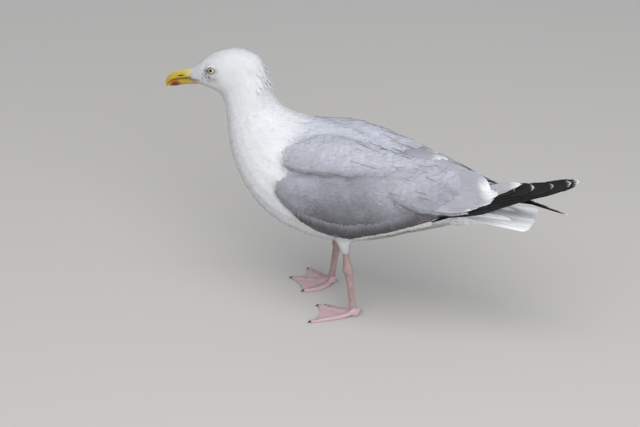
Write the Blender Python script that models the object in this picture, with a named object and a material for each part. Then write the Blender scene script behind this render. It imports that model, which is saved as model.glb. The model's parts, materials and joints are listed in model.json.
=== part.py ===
"""Herring gull, standing with folded wings: the solid pieces of a life-size museum model.

Units are metres and +Z is up. The bird faces -Y, so its left side is +X. While it is built, the origin is on
the floor between the two heels; at the end all is moved so that the origin is under the middle of its box.
Flesh is made whole and parted with thin cuts. A piece that lies against another is cut back round it by GAP.
"""

import math

import bmesh
import bpy
import numpy as np
from mathutils import Matrix, Vector

# ---------------------------------------------------------------- driving dimensions

GAP = 0.0003  # air left between neighbouring solids
FLAT_ENOUGH = math.radians(1.5)  # facets that turn less than this from one another become one
LEFT, RIGHT = 1, -1
SIDES = {"left": LEFT, "right": RIGHT}

HEAD_TURN = math.radians(-9)  # the head looks a little to the bird's right
TURN_AXIS = Vector((0.0, -0.118, 0.0))  # a vertical line through the root of the neck

# The body is a row of closed hoops along its length: (y, z, half depth, half width, lean in degrees).
# At lean 0 a hoop stands upright; a positive lean tips its upper edge back, towards the tail.
BODY_HOOPS = (
    (0.185, 0.172, 0.018, 0.018, 10),  # root of the tail
    (0.150, 0.175, 0.036, 0.033, 10),  # rump
    (0.105, 0.174, 0.052, 0.048, 10),  # vent
    (0.055, 0.174, 0.072, 0.059, 10),  # loin
    (0.000, 0.180, 0.086, 0.065, 10),  # keel
    (-0.055, 0.190, 0.084, 0.065, 15),  # shoulders
    (-0.095, 0.208, 0.071, 0.060, 20),  # breast
    (-0.121, 0.236, 0.056, 0.050, 30),  # crop
    (-0.133, 0.266, 0.045, 0.041, 40),  # root of the neck
    (-0.137, 0.295, 0.038, 0.034, 49),  # middle of the neck
    (-0.146, 0.314, 0.038, 0.031, 45),  # nape and throat
    (-0.160, 0.321, 0.038, 0.029, 37),  # back of the crown
    (-0.176, 0.324, 0.036, 0.027, 29),  # crown
    (-0.196, 0.319, 0.027, 0.022, 20),  # brow
    (-0.211, 0.312, 0.018, 0.016, 15),  # forehead and chin
    (-0.224, 0.306, 0.010, 0.008, 10),  # face, hidden inside the root of the bill
)
HOOP_SIDES = 22
HOOPS_PER_SPAN = 2
HOOP_DROOP = 0.1  # how far below its middle a hoop is widest, as a share of its half depth
NECK_ROOT_HOOP, NECK_TOP_HOOP = 8, 10  # where the thin cuts part trunk, neck and head

# The bill has its own frame: forward along it and up square to that. Its origin is between the halves,
# under the nostrils.
BILL_ROOT = Vector((0.0, -0.2363, 0.2944))
BILL_DROOP = math.radians(20)
# (forward and up at the top of the hoop, forward and up at its bottom, half width) from the gape to the tip
UPPER_BILL = (
    (-0.0310, -0.0010, -0.0310, -0.0040, 0.0074),  # gape
    (-0.0240, 0.0080, -0.0240, -0.0014, 0.0078),
    (-0.0160, 0.0124, -0.0160, 0.0001, 0.0072),
    (-0.0050, 0.0127, -0.0050, 0.0014, 0.0063),
    (0.0080, 0.0128, 0.0080, 0.0022, 0.0053),
    (0.0180, 0.0115, 0.0170, 0.0019, 0.0046),
    (0.0255, 0.0078, 0.0230, 0.0009, 0.0040),
    (0.0312, 0.0034, 0.0275, -0.0008, 0.0032),
    (0.0342, -0.0010, 0.0306, -0.0030, 0.0023),
    (0.0350, -0.0048, 0.0326, -0.0054, 0.0014),
    (0.0347, -0.0072, 0.0338, -0.0074, 0.0006),  # tip of the hook
)
LOWER_BILL = (
    (-0.0290, -0.0040, -0.0290, -0.0088, 0.0066),
    (-0.0170, -0.0002, -0.0170, -0.0096, 0.0066),
    (-0.0050, 0.0012, -0.0050, -0.0080, 0.0057),
    (0.0070, 0.0019, 0.0070, -0.0073, 0.0048),
    (0.0160, 0.0017, 0.0165, -0.0077, 0.0042),  # the angle of the gonys
    (0.0220, 0.0007, 0.0240, -0.0073, 0.0036),
    (0.0260, -0.0012, 0.0286, -0.0066, 0.0027),
    (0.0290, -0.0036, 0.0304, -0.0058, 0.0013),
)
BILL_SIDES = 12
BILL_PEAR = 0.22  # how much narrower the bill is above its middle than below

EYE_RADIUS = 0.0064
EYE_CENTRE = Vector((0.0204, -0.1799, 0.3268))  # before the head is turned, on the left

# The folded wing lies in four layers. Each hoop is an ellipse across the body:
# (x, y, z, half depth, half thickness, lean in degrees). At lean 0 the depth runs straight up;
# a positive lean tips the upper edge in, towards the back.
WING_HOOPS = (
    (0.0560, -0.084, 0.196, 0.010, 0.004, 10),  # wrist
    (0.0550, -0.074, 0.196, 0.022, 0.010, 12),
    (0.0535, -0.050, 0.190, 0.036, 0.0165, 14),
    (0.0525, -0.015, 0.184, 0.051, 0.0195, 14),
    (0.0515, 0.025, 0.1835, 0.0545, 0.0190, 14),
    (0.0475, 0.070, 0.189, 0.048, 0.0150, 17),
    (0.0410, 0.115, 0.196, 0.0395, 0.0100, 23),
    (0.0330, 0.155, 0.2005, 0.0285, 0.0065, 30),
    (0.0270, 0.192, 0.202, 0.014, 0.0030, 36),
)
SCAPULAR_HOOPS = (
    (0.0420, -0.078, 0.2360, 0.010, 0.0040, 44),
    (0.0430, -0.064, 0.2390, 0.024, 0.0100, 46),
    (0.0440, -0.030, 0.2410, 0.031, 0.0135, 48),
    (0.0435, 0.015, 0.2425, 0.030, 0.0140, 49),
    (0.0370, 0.060, 0.2405, 0.022, 0.0115, 50),
    (0.0270, 0.100, 0.2370, 0.016, 0.0080, 52),
    (0.0140, 0.138, 0.2370, 0.008, 0.0035, 56),
)
TERTIAL_HOOPS = (
    (0.0400, 0.070, 0.2220, 0.022, 0.0060, 44),
    (0.0380, 0.095, 0.2200, 0.035, 0.0100, 45),
    (0.0345, 0.130, 0.2140, 0.041, 0.0110, 46),
    (0.0285, 0.165, 0.2085, 0.038, 0.0090, 47),
    (0.0225, 0.197, 0.2045, 0.029, 0.0055, 48),
    (0.0165, 0.224, 0.2050, 0.013, 0.0024, 50),
)
# The wing tips cross over the tail, the left one on top.
LEFT_TIP_HOOPS = (
    (0.0400, 0.120, 0.190, 0.014, 0.0030, 55),
    (0.0360, 0.160, 0.193, 0.018, 0.0042, 57),
    (0.0270, 0.200, 0.199, 0.019, 0.0042, 59),
    (0.0150, 0.240, 0.206, 0.017, 0.0036, 60),
    (0.0030, 0.275, 0.214, 0.014, 0.0030, 60),
    (-0.0090, 0.304, 0.222, 0.010, 0.0022, 60),
    (-0.0180, 0.324, 0.228, 0.004, 0.0012, 60),
)
RIGHT_TIP_HOOPS = (
    (0.0400, 0.120, 0.188, 0.014, 0.0030, 55),
    (0.0350, 0.160, 0.188, 0.017, 0.0038, 57),
    (0.0240, 0.200, 0.188, 0.018, 0.0036, 60),
    (0.0090, 0.240, 0.190, 0.016, 0.0030, 61),
    (-0.0060, 0.275, 0.194, 0.013, 0.0026, 62),
    (-0.0190, 0.304, 0.198, 0.009, 0.0020, 62),
    (-0.0280, 0.322, 0.201, 0.004, 0.0012, 62),
)
TAIL_HOOPS = (  # (y, z of the middle, half width, half thickness, sag of the sides)
    (0.150, 0.172, 0.020, 0.0120, 0.002),
    (0.180, 0.172, 0.027, 0.0110, 0.003),
    (0.210, 0.171, 0.031, 0.0080, 0.003),
    (0.240, 0.1705, 0.033, 0.0045, 0.002),
    (0.262, 0.170, 0.034, 0.0022, 0.001),
    (0.275, 0.1705, 0.0335, 0.0010, 0.000),
)
WING_SIDES = 12
TIP_SIDES = 10
TAIL_SIDES = 16

# Legs: (x, y, z, half width across, half width fore and aft) from the belly down to the foot
LEFT_THIGH = (
    (0.031, 0.006, 0.138, 0.014, 0.022),
    (0.034, 0.011, 0.122, 0.0135, 0.0165),
    (0.037, 0.015, 0.107, 0.0092, 0.0098),
    (0.038, 0.018, 0.093, 0.0062, 0.0066),
)
LEFT_LEG = (
    (0.0380, 0.0185, 0.096, 0.0034, 0.0042),
    (0.0380, 0.0193, 0.086, 0.0038, 0.0046),
    (0.0382, 0.0208, 0.076, 0.0047, 0.0060),
    (0.0384, 0.0220, 0.068, 0.0054, 0.0070),  # ankle
    (0.0386, 0.0234, 0.060, 0.0041, 0.0055),
    (0.0390, 0.0255, 0.045, 0.0035, 0.0046),
    (0.0400, 0.0285, 0.022, 0.0035, 0.0045),
    (0.0405, 0.0300, 0.012, 0.0042, 0.0054),
    (0.0405, 0.0305, 0.007, 0.0038, 0.0050),
)
RIGHT_THIGH = (
    (-0.030, -0.004, 0.138, 0.014, 0.022),
    (-0.032, -0.008, 0.122, 0.0135, 0.0165),
    (-0.034, -0.011, 0.107, 0.0092, 0.0098),
    (-0.034, -0.013, 0.093, 0.0062, 0.0066),
)
RIGHT_LEG = (
    (-0.0340, -0.0130, 0.096, 0.0034, 0.0042),
    (-0.0340, -0.0145, 0.086, 0.0038, 0.0046),
    (-0.0340, -0.0160, 0.076, 0.0047, 0.0060),
    (-0.0340, -0.0172, 0.068, 0.0054, 0.0070),  # ankle
    (-0.0340, -0.0187, 0.060, 0.0041, 0.0055),
    (-0.0340, -0.0212, 0.045, 0.0035, 0.0046),
    (-0.0345, -0.0245, 0.022, 0.0035, 0.0045),
    (-0.0350, -0.0262, 0.012, 0.0042, 0.0054),
    (-0.0350, -0.0266, 0.007, 0.0038, 0.0050),
)
LEG_SIDES = 10

# Each foot: where the heel stands, its front toes as (name, degrees out from straight ahead, length to the
# claw, sideways bow), and how far the web's edge curves back between the inner, middle and outer tips.
FEET = {
    "left": (
        (0.0410, 0.0330),
        (("inner", -13, 0.046, 0.0), ("middle", -6.5, 0.0556, 0.0), ("outer", 37, 0.064, 0.002)),
        (0.03, 0.14),
    ),
    "right": (
        (-0.0360, -0.0260),
        (("inner", -52, 0.0477, -0.008), ("middle", -8, 0.0580, 0.0), ("outer", 29, 0.0495, 0.001)),
        (0.06, 0.20),
    ),
}
TOE_ROOT_RADIUS, TOE_TIP_RADIUS = 0.0036, 0.0023
TOE_SINK = 0.0007  # how much of each toe's round is cut off flat, to stand on
WEB_LOW, WEB_HIGH = 0.0008, 0.0024
CLAW_LENGTH = 0.0070
CLAW_RADIUS, CLAW_LIFT, CLAW_DROP = 0.0016, 0.0006, 0.0016
HIND_TOE_LENGTH = 0.0085
HIND_TOE_ROOT, HIND_TOE_TIP = 0.0094, 0.0078  # heights of its two ends
HIND_TOE_DEGREES = 205  # from straight ahead, turned in a little behind the heel
HIND_CLAW_DROP = 0.0022
HEEL_RADIUS, HEEL_HEIGHT = 0.0062, 0.0052
TOE_ARCH = 0.0050  # how far a toe's root stands over its flat part
TOE_FALL = 0.25  # the share of a toe's length in which it comes down to the floor

MATERIALS = {  # name: (linear colour, roughness)
    "white_plumage": ((0.80, 0.80, 0.79), 0.9),
    "grey_plumage": ((0.36, 0.38, 0.43), 0.85),
    "black_plumage": ((0.018, 0.016, 0.016), 0.7),
    "yellow_bill": ((0.72, 0.45, 0.05), 0.4),
    "pink_skin": ((0.60, 0.33, 0.32), 0.55),
    "dark_claw": ((0.02, 0.017, 0.015), 0.4),
    "pale_eye": ((0.66, 0.62, 0.40), 0.1),
}


# ---------------------------------------------------------------- tools


def clear_scene():
    for old in list(bpy.data.objects):
        bpy.data.objects.remove(old)


def finish_of(name):
    """The shared material of that name, made the first time it is asked for."""
    if name in bpy.data.materials:
        return bpy.data.materials[name]
    colour, roughness = MATERIALS[name]
    made = bpy.data.materials.new(name)
    made.use_nodes = True
    shader = made.node_tree.nodes["Principled BSDF"]
    shader.inputs["Base Color"].default_value = (*colour, 1.0)
    shader.inputs["Roughness"].default_value = roughness
    shader.inputs["Metallic"].default_value = 0.0
    return made


def smooth(rows, steps):
    """Rows of numbers read off a smooth curve through the given rows, `steps` to each span."""
    rows = np.array(rows, float)
    padded = np.vstack([2 * rows[0] - rows[1], rows, 2 * rows[-1] - rows[-2]])
    found = []
    for a, b, c, d in zip(padded, padded[1:], padded[2:], padded[3:]):
        for t in np.arange(steps) / steps:
            found.append(
                b + 0.5 * t * (c - a + t * (2 * a - 5 * b + 4 * c - d + t * (3 * (b - c) + d - a)))
            )
    return np.array([*found, rows[-1]])


def solid(name, bm, finish):
    """An object from a bmesh, in triangles with their faces pointing out, shaded smooth."""
    bmesh.ops.triangulate(bm, faces=bm.faces)
    bmesh.ops.recalc_face_normals(bm, faces=bm.faces)
    if bm.calc_volume(signed=True) < 0:
        bmesh.ops.reverse_faces(bm, faces=bm.faces)
    mesh = bpy.data.meshes.new(name)
    bm.to_mesh(mesh)
    bm.free()
    mesh.materials.append(finish_of(finish))
    mesh.shade_smooth()
    made = bpy.data.objects.new(name, mesh)
    bpy.context.scene.collection.objects.link(made)
    return made


def loft(name, hoops, finish):
    """A closed solid through hoops with equal numbers of points. Each end is closed by a low cone."""
    bm = bmesh.new()
    rows = [[bm.verts.new(point) for point in hoop] for hoop in hoops]
    for row, following in zip(rows, rows[1:]):
        for a, b, c, d in zip(row, row[1:] + row[:1], following[1:] + following[:1], following):
            bm.faces.new((a, b, c, d))
    for hoop, row, beside in ((hoops[0], rows[0], hoops[1]), (hoops[-1], rows[-1], hoops[-2])):
        middle = sum(hoop, Vector()) / len(hoop)
        outward = (middle - sum(beside, Vector()) / len(beside)).normalized()
        pole = bm.verts.new(middle + outward * 0.25 * (hoop[0] - middle).length)
        for a, b in zip(row, row[1:] + row[:1]):
            bm.faces.new((a, b, pole))
    return solid(name, bm, finish)


def around(count):
    return [math.tau * k / count for k in range(count)]


def apply_boolean(target, other, operation):
    modifier = target.modifiers.new("boolean", "BOOLEAN")
    modifier.operation = operation
    modifier.object = other
    bpy.context.view_layer.update()
    graph = bpy.context.evaluated_depsgraph_get()
    mesh = bpy.data.meshes.new_from_object(target.evaluated_get(graph))
    target.modifiers.remove(modifier)
    target.data = mesh


def join(name, pieces):
    """One body from several that overlap."""
    whole, *rest = pieces
    for piece in rest:
        apply_boolean(whole, piece, "UNION")
        bpy.data.objects.remove(piece)
    whole.name = name
    return whole


def mould(piece):
    """A cutter in the shape of a piece as it is now, grown by GAP."""
    bm = bmesh.new()
    bm.from_mesh(piece.data)
    bm.normal_update()
    for vert in bm.verts:
        vert.co += vert.normal * GAP
    cutter = solid(f"mould_{piece.name}", bm, "dark_claw")
    cutter.hide_render = True
    cutter.display_type = "WIRE"
    return cutter


def cut_round(piece, moulds):
    """Takes the space of some moulds out of a piece, and drops any crumb that this leaves."""
    for cutter in moulds:
        apply_boolean(piece, cutter, "DIFFERENCE")
    keep_largest(piece)


def islands(bm):
    """The mesh's separate bodies, as lists of their faces."""
    left, found = set(bm.faces), []
    while left:
        edge_of_walk = [left.pop()]
        body = list(edge_of_walk)
        while edge_of_walk:
            face = edge_of_walk.pop()
            near = {other for edge in face.edges for other in edge.link_faces} & left
            left -= near
            body += near
            edge_of_walk += near
        found.append(body)
    return found


def keep_largest(piece):
    bm = bmesh.new()
    bm.from_mesh(piece.data)
    bodies = sorted(islands(bm), key=lambda body: sum(face.calc_area() for face in body))
    crumbs = [face for body in bodies[:-1] for face in body]
    bmesh.ops.delete(bm, geom=crumbs, context="FACES")
    bmesh.ops.dissolve_limit(bm, angle_limit=FLAT_ENOUGH, verts=bm.verts, edges=bm.edges)
    bmesh.ops.triangulate(bm, faces=bm.faces)
    bm.to_mesh(piece.data)
    bm.free()


def keep_side(piece, point, towards):
    """Cuts a piece with a plane and keeps what lies on the side that `towards` points to."""
    bm = bmesh.new()
    bm.from_mesh(piece.data)
    everything = bm.verts[:] + bm.edges[:] + bm.faces[:]
    bmesh.ops.bisect_plane(bm, geom=everything, plane_co=point, plane_no=towards, clear_inner=True)
    rim = [edge for edge in bm.edges if edge.is_boundary]
    bmesh.ops.holes_fill(bm, edges=rim)
    bmesh.ops.recalc_face_normals(bm, faces=bm.faces)
    bm.to_mesh(piece.data)
    bm.free()


def boxes_meet(one, other):
    a, b = (np.array([v.co for v in piece.data.vertices]) for piece in (one, other))
    return bool(np.all(a.max(0) > b.min(0)) and np.all(b.max(0) > a.min(0)))


def duplicate(piece, name):
    copy = bpy.data.objects.new(name, piece.data.copy())
    bpy.context.scene.collection.objects.link(copy)
    return copy


# ---------------------------------------------------------------- trunk, neck and head


def turned(point, share):
    """A point of the neck or head after the head has turned by that share of HEAD_TURN."""
    return TURN_AXIS + Matrix.Rotation(HEAD_TURN * share, 3, "Z") @ (Vector(point) - TURN_AXIS)


def head_share(place):
    """The share of the head's turn at a place along the body: none at the neck's root, all at its top."""
    share = (place - NECK_ROOT_HOOP) / (NECK_TOP_HOOP - NECK_ROOT_HOOP)
    share = min(1.0, max(0.0, share))
    return share * share * (3 - 2 * share)


def body_hoop(row, share):
    y, z, half_depth, half_width, lean = row
    lean = math.radians(lean)
    middle, up = Vector((0, y, z)), Vector((0, math.sin(lean), math.cos(lean)))
    points = []
    for angle in around(HOOP_SIDES):
        rise = math.cos(angle) - HOOP_DROOP * math.sin(angle) ** 2
        point = middle + up * half_depth * rise + Vector((half_width * math.sin(angle), 0, 0))
        points.append(turned(point, share))
    return points


def body_plane(place):
    """A point and direction that cut the body at one of its hoops, square to its length."""
    y, z, _, _, lean = smooth(BODY_HOOPS, HOOPS_PER_SPAN)[round(place * HOOPS_PER_SPAN)]
    lean, share = math.radians(lean), head_share(place)
    forward = Vector((0, -math.cos(lean), math.sin(lean)))
    return turned((0, y, z), share), Matrix.Rotation(HEAD_TURN * share, 3, "Z") @ forward


def body():
    """Trunk, neck and head, made as one and parted with two thin cuts."""
    rows = smooth(BODY_HOOPS, HOOPS_PER_SPAN)
    hoops = [body_hoop(row, head_share(k / HOOPS_PER_SPAN)) for k, row in enumerate(rows)]
    trunk = loft("trunk", hoops, "white_plumage")
    neck, head = duplicate(trunk, "neck"), duplicate(trunk, "head")
    for place, behind, ahead in ((NECK_ROOT_HOOP, trunk, neck), (NECK_TOP_HOOP, neck, head)):
        point, forward = body_plane(place)
        keep_side(behind, point - forward * GAP / 2, -forward)
        keep_side(ahead, point + forward * GAP / 2, forward)
        if ahead is neck:
            keep_side(head, point, forward)
    return trunk, neck, head


def bill_half(name, hoops):
    """Half of the bill: lofted forward in its own frame, drooped, set on the face, turned with the head."""
    placed = Matrix.Translation(BILL_ROOT) @ Matrix.Rotation(BILL_DROOP, 4, "X")
    rings = []
    for top_y, top_z, bottom_y, bottom_z, half_width in hoops:
        top, bottom = Vector((0, -top_y, top_z)), Vector((0, -bottom_y, bottom_z))
        middle, up = (top + bottom) / 2, (top - bottom) / 2
        ring = []
        for angle in around(BILL_SIDES):
            width = half_width * math.sin(angle) * (1 - BILL_PEAR * math.cos(angle))
            ring.append(turned(placed @ (middle + up * math.cos(angle) + Vector((width, 0, 0))), 1.0))
        rings.append(ring)
    return loft(name, rings, "yellow_bill")


def eye(name, side):
    bm = bmesh.new()
    bmesh.ops.create_uvsphere(bm, u_segments=12, v_segments=8, radius=EYE_RADIUS)
    centre = EYE_CENTRE.copy()
    centre.x *= side
    bmesh.ops.translate(bm, verts=bm.verts, vec=turned(centre, 1.0))
    return solid(name, bm, "pale_eye")


# ---------------------------------------------------------------- wings and tail


def wing_layer(name, hoops, side, sides, finish, steps):
    """One layer of a folded wing, an upright lens that leans against the body."""
    rings = []
    for x, y, z, half_depth, half_thickness, lean in smooth(hoops, steps):
        lean = math.radians(lean)
        up = Vector((-side * math.sin(lean), 0, math.cos(lean)))
        out = Vector((side * math.cos(lean), 0, math.sin(lean)))
        middle = Vector((side * x, y, z))
        rings.append(
            [
                middle + up * half_depth * math.cos(a) + out * half_thickness * math.sin(a)
                for a in around(sides)
            ]
        )
    return loft(name, rings, finish)


def tail():
    rings = []
    for y, z, half_width, half_thickness, sag in TAIL_HOOPS:
        ring = []
        for angle in around(TAIL_SIDES):
            across = math.sin(angle)
            height = z + half_thickness * math.cos(angle) - sag * across**2
            ring.append(Vector((half_width * across, y, height)))
        rings.append(ring)
    return loft("tail", rings, "white_plumage")


# ---------------------------------------------------------------- legs and feet


def limb(name, rows, finish):
    """A leg or thigh of oval hoops, one above the other."""
    rings = []
    for x, y, z, across, along in rows:
        rings.append(
            [Vector((x + across * math.cos(a), y + along * math.sin(a), z)) for a in around(LEG_SIDES)]
        )
    return loft(name, rings, finish)


def tube(name, path, radii, finish, sides=8):
    """A round tube along a path of points, with a radius at each."""
    rings = []
    for i, (point, radius) in enumerate(zip(path, radii)):
        along = (path[min(i + 1, len(path) - 1)] - path[max(i - 1, 0)]).normalized()
        across = along.cross(Vector((0, 0, 1))).normalized()
        up = across.cross(along)
        rings.append(
            [point + (across * math.cos(a) + up * math.sin(a)) * radius for a in around(sides)]
        )
    return loft(name, rings, finish)


def toe_heading(side, degrees):
    """Straight ahead is -Y; positive degrees turn a toe out, away from the other foot."""
    angle = math.radians(degrees)
    return Vector((side * math.sin(angle), -math.cos(angle), 0))


def toe(heel, heading, length, bow):
    """A front toe: down from the end of the leg, then flat on the floor. Gives its solid and middle line."""
    aside = Vector((-heading.y, heading.x, 0)) * bow
    path, radii = [], []
    for share in (0.0, 0.14, 0.3, 0.55, 0.8, 1.0):
        fall = max(0.0, 1 - share / TOE_FALL) ** 1.5
        radius = TOE_ROOT_RADIUS + (TOE_TIP_RADIUS - TOE_ROOT_RADIUS) * share
        height = (radius - TOE_SINK) + TOE_ARCH * fall
        out = aside * math.sin(math.pi * share)
        path.append(heel + heading * length * share + out + Vector((0, 0, height)))
        radii.append(radius)
    return tube("toe", path, radii, "pink_skin"), path


def web(lines, scallops):
    """The skin between the front toes. It follows the outermost two and curves back between the tips."""
    first, last = lines[0], lines[-1]
    heel = first[0]
    outline = list(first)
    for line, following, scallop in zip(lines, lines[1:], scallops):
        for share in np.linspace(0, 1, 7)[1:]:
            back = scallop * math.sin(math.pi * share)
            outline.append(line[-1].lerp(following[-1], share).lerp(heel, back))
    outline += last[-2:0:-1]
    bm = bmesh.new()
    face = bm.faces.new([bm.verts.new((p.x, p.y, WEB_LOW)) for p in outline])
    made = bmesh.ops.extrude_face_region(bm, geom=[face])
    lifted = [v for v in made["geom"] if isinstance(v, bmesh.types.BMVert)]
    bmesh.ops.translate(bm, verts=lifted, vec=(0, 0, WEB_HIGH - WEB_LOW))
    return solid("web", bm, "pink_skin")


def claw(name, root, heading, drop):
    """A small curved spike that goes on from a toe and ends just above the floor."""
    path, radii = [], []
    for share in (0.0, 0.4, 0.75, 1.0):
        path.append(root + heading * CLAW_LENGTH * share - Vector((0, 0, drop * share**2)))
        radii.append(CLAW_RADIUS * (1 - 0.82 * share))
    return tube(name, path, radii, "dark_claw", sides=6)


def foot(word):
    """One webbed foot with its claws. The undersides of its toes are flats on the floor."""
    (heel_x, heel_y), toes, scallops = FEET[word]
    side = SIDES[word]
    heel = Vector((heel_x, heel_y, 0))
    pieces, claws, lines = [], [], []
    for name, degrees, length, bow in toes:
        heading = toe_heading(side, degrees)
        made, line = toe(heel, heading, length, bow * side)
        pieces.append(made)
        lines.append(line)
        ahead = (line[-1] - line[-2]).normalized()
        root = line[-1] + Vector((0, 0, CLAW_LIFT))
        claws.append(claw(f"claw_{word}_{name}", root, ahead, CLAW_DROP))
    bm = bmesh.new()
    bmesh.ops.create_uvsphere(bm, u_segments=10, v_segments=6, radius=HEEL_RADIUS)
    bmesh.ops.translate(bm, verts=bm.verts, vec=heel + Vector((0, 0, HEEL_HEIGHT)))
    pieces.append(solid("heel", bm, "pink_skin"))
    hind = toe_heading(side, HIND_TOE_DEGREES)
    root = heel + Vector((0, 0, HIND_TOE_ROOT))
    tip = heel + hind * HIND_TOE_LENGTH + Vector((0, 0, HIND_TOE_TIP))
    path = [root, root.lerp(tip, 0.5), tip]
    pieces.append(tube("hind", path, (0.0024, 0.0021, 0.0016), "pink_skin"))
    claws.append(claw(f"claw_{word}_hind", tip - hind * 0.001, hind, HIND_CLAW_DROP))
    pieces.append(web(lines, scallops))
    whole = join(f"foot_{word}", pieces)
    keep_side(whole, Vector((0, 0, 0)), Vector((0, 0, 1)))
    return whole, claws


# ---------------------------------------------------------------- the whole bird


def stand_on_centre():
    """Moves every piece so that the origin is on the floor, under the middle of the whole bird's box."""
    points = [v.co for piece in bpy.data.objects for v in piece.data.vertices]
    low = Vector(min(p[k] for p in points) for k in range(3))
    high = Vector(max(p[k] for p in points) for k in range(3))
    shift = Vector((-(low.x + high.x) / 2, -(low.y + high.y) / 2, -low.z))
    for piece in bpy.data.objects:
        piece.data.transform(Matrix.Translation(shift))
    print(f"The origin was moved by {shift.x:.4f} {shift.y:.4f} {shift.z:.4f}")


def head_parts(head):
    """The bill and the eyes, with the head cut back round them."""
    upper = bill_half("bill_upper", UPPER_BILL)
    lower = bill_half("bill_lower", LOWER_BILL)
    eyes = [eye(f"eye_{word}", side) for word, side in SIDES.items()]
    moulds = [mould(piece) for piece in (upper, lower, *eyes)]
    cut_round(lower, moulds[:1])
    cut_round(head, moulds)


def wings_and_tail():
    """The wings' layers and the tail, each cut back round those that lie over it. Gives their moulds."""
    grey, black = "grey_plumage", "black_plumage"
    tips = {"left": LEFT_TIP_HOOPS, "right": RIGHT_TIP_HOOPS}
    layers = []
    for word, side in SIDES.items():
        layers.append(wing_layer(f"primaries_{word}", tips[word], side, TIP_SIDES, black, 1))
    kinds = (("scapulars", SCAPULAR_HOOPS, 2), ("tertials", TERTIAL_HOOPS, 1), ("wing", WING_HOOPS, 2))
    for name, hoops, steps in kinds:
        for word, side in SIDES.items():
            layers.append(wing_layer(f"{name}_{word}", hoops, side, WING_SIDES, grey, steps))
    layers.append(tail())
    moulds = [mould(layer) for layer in layers]
    for rank, layer in enumerate(layers):
        cut_round(layer, [over for over in moulds[:rank] if boxes_meet(over, layer)])
    return moulds


def legs_and_feet():
    """Both legs. Claws root in the toes, shanks in feet and thighs. Gives the moulds of the thighs."""
    thighs = []
    legs = (("left", LEFT_THIGH, LEFT_LEG), ("right", RIGHT_THIGH, RIGHT_LEG))
    for word, thigh_rows, leg_rows in legs:
        whole, claws = foot(word)
        leg = limb(f"leg_{word}", leg_rows, "pink_skin")
        leg_mould = mould(leg)
        cut_round(whole, [mould(one) for one in claws] + [leg_mould])
        thigh = limb(f"thigh_{word}", thigh_rows, "white_plumage")
        thighs.append(mould(thigh))
        cut_round(thigh, [leg_mould])
    return thighs


def main():
    clear_scene()
    trunk, neck, head = body()
    head_parts(head)
    moulds = wings_and_tail() + legs_and_feet()
    cut_round(trunk, moulds)
    for cutter in [piece for piece in bpy.data.objects if piece.name.startswith("mould_")]:
        bpy.data.objects.remove(cutter)
    stand_on_centre()


main()
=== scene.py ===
# %% [markdown]
# A herring gull, life size, standing with its wings folded.
#
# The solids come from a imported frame: trunk, neck, head, wings, legs, bill and eyes, at their real size. This
# lesson dresses them. One skin is drawn over the flesh, a coat of small feathers grows from that skin, the
# flight feathers are laid on one by one, and the bill, eyes, legs and feet are modelled as what they are.
# Lengths are in metres. The bird faces -Y, so its left side is +X, and +Z is up.

# %% Load the frame
import json
import math

import bmesh
import bpy
import numpy as np
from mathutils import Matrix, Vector
from mathutils.bvhtree import BVHTree

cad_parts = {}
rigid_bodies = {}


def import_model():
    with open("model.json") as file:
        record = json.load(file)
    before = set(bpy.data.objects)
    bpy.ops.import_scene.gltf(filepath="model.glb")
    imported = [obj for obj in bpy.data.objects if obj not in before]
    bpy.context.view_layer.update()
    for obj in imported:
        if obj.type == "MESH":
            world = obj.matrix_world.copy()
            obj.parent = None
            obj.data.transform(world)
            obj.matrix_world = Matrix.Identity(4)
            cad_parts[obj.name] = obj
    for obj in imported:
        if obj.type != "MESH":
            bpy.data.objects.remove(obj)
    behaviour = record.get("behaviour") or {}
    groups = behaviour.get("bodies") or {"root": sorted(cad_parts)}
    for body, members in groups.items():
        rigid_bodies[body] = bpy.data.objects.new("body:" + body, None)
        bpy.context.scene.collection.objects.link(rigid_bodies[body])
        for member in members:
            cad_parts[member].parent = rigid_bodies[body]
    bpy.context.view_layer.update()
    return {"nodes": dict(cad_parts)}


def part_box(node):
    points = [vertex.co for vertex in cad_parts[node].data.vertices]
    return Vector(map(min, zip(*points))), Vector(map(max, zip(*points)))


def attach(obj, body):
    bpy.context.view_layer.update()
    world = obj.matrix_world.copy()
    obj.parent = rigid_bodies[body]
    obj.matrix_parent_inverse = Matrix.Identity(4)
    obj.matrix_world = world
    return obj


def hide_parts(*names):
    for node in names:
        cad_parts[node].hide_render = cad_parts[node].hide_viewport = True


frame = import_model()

MM = 0.001
LEFT, RIGHT = 1, -1
SIDES = {"left": LEFT, "right": RIGHT}
UP = Vector((0, 0, 1))

# %% [markdown]
# Three small tools serve the whole lesson. `add` puts a node in a tree, with its settings and its links, for
# materials and for Geometry Nodes alike. `linear` turns the sRGB hex value that a painter would pick into the
# linear colour that a shader wants. `new_finish` starts a material, and `set_surface` says how its surface
# behaves. `settle` turns an object's modifiers into plain mesh, because a finished piece carries none.

# %% Tools for nodes, colours and modifiers


def add(tree, kind, inputs=None, **settings):
    """Adds a node. Each input is a value, or another node's output socket to link from."""
    node = tree.nodes.new(kind)
    for key, value in settings.items():
        setattr(node, key, value)
    for key, value in (inputs or {}).items():
        if isinstance(value, bpy.types.NodeSocket):
            tree.links.new(value, node.inputs[key])
        else:
            node.inputs[key].default_value = value
    return node


def linear(hex_colour):
    parts = [int(hex_colour[k : k + 2], 16) / 255 for k in (1, 3, 5)]
    return (*[p / 12.92 if p <= 0.04045 else ((p + 0.055) / 1.055) ** 2.4 for p in parts], 1.0)


def new_finish(name):
    made = bpy.data.materials.new(name)
    made.use_nodes = True
    return made, made.node_tree


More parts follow.
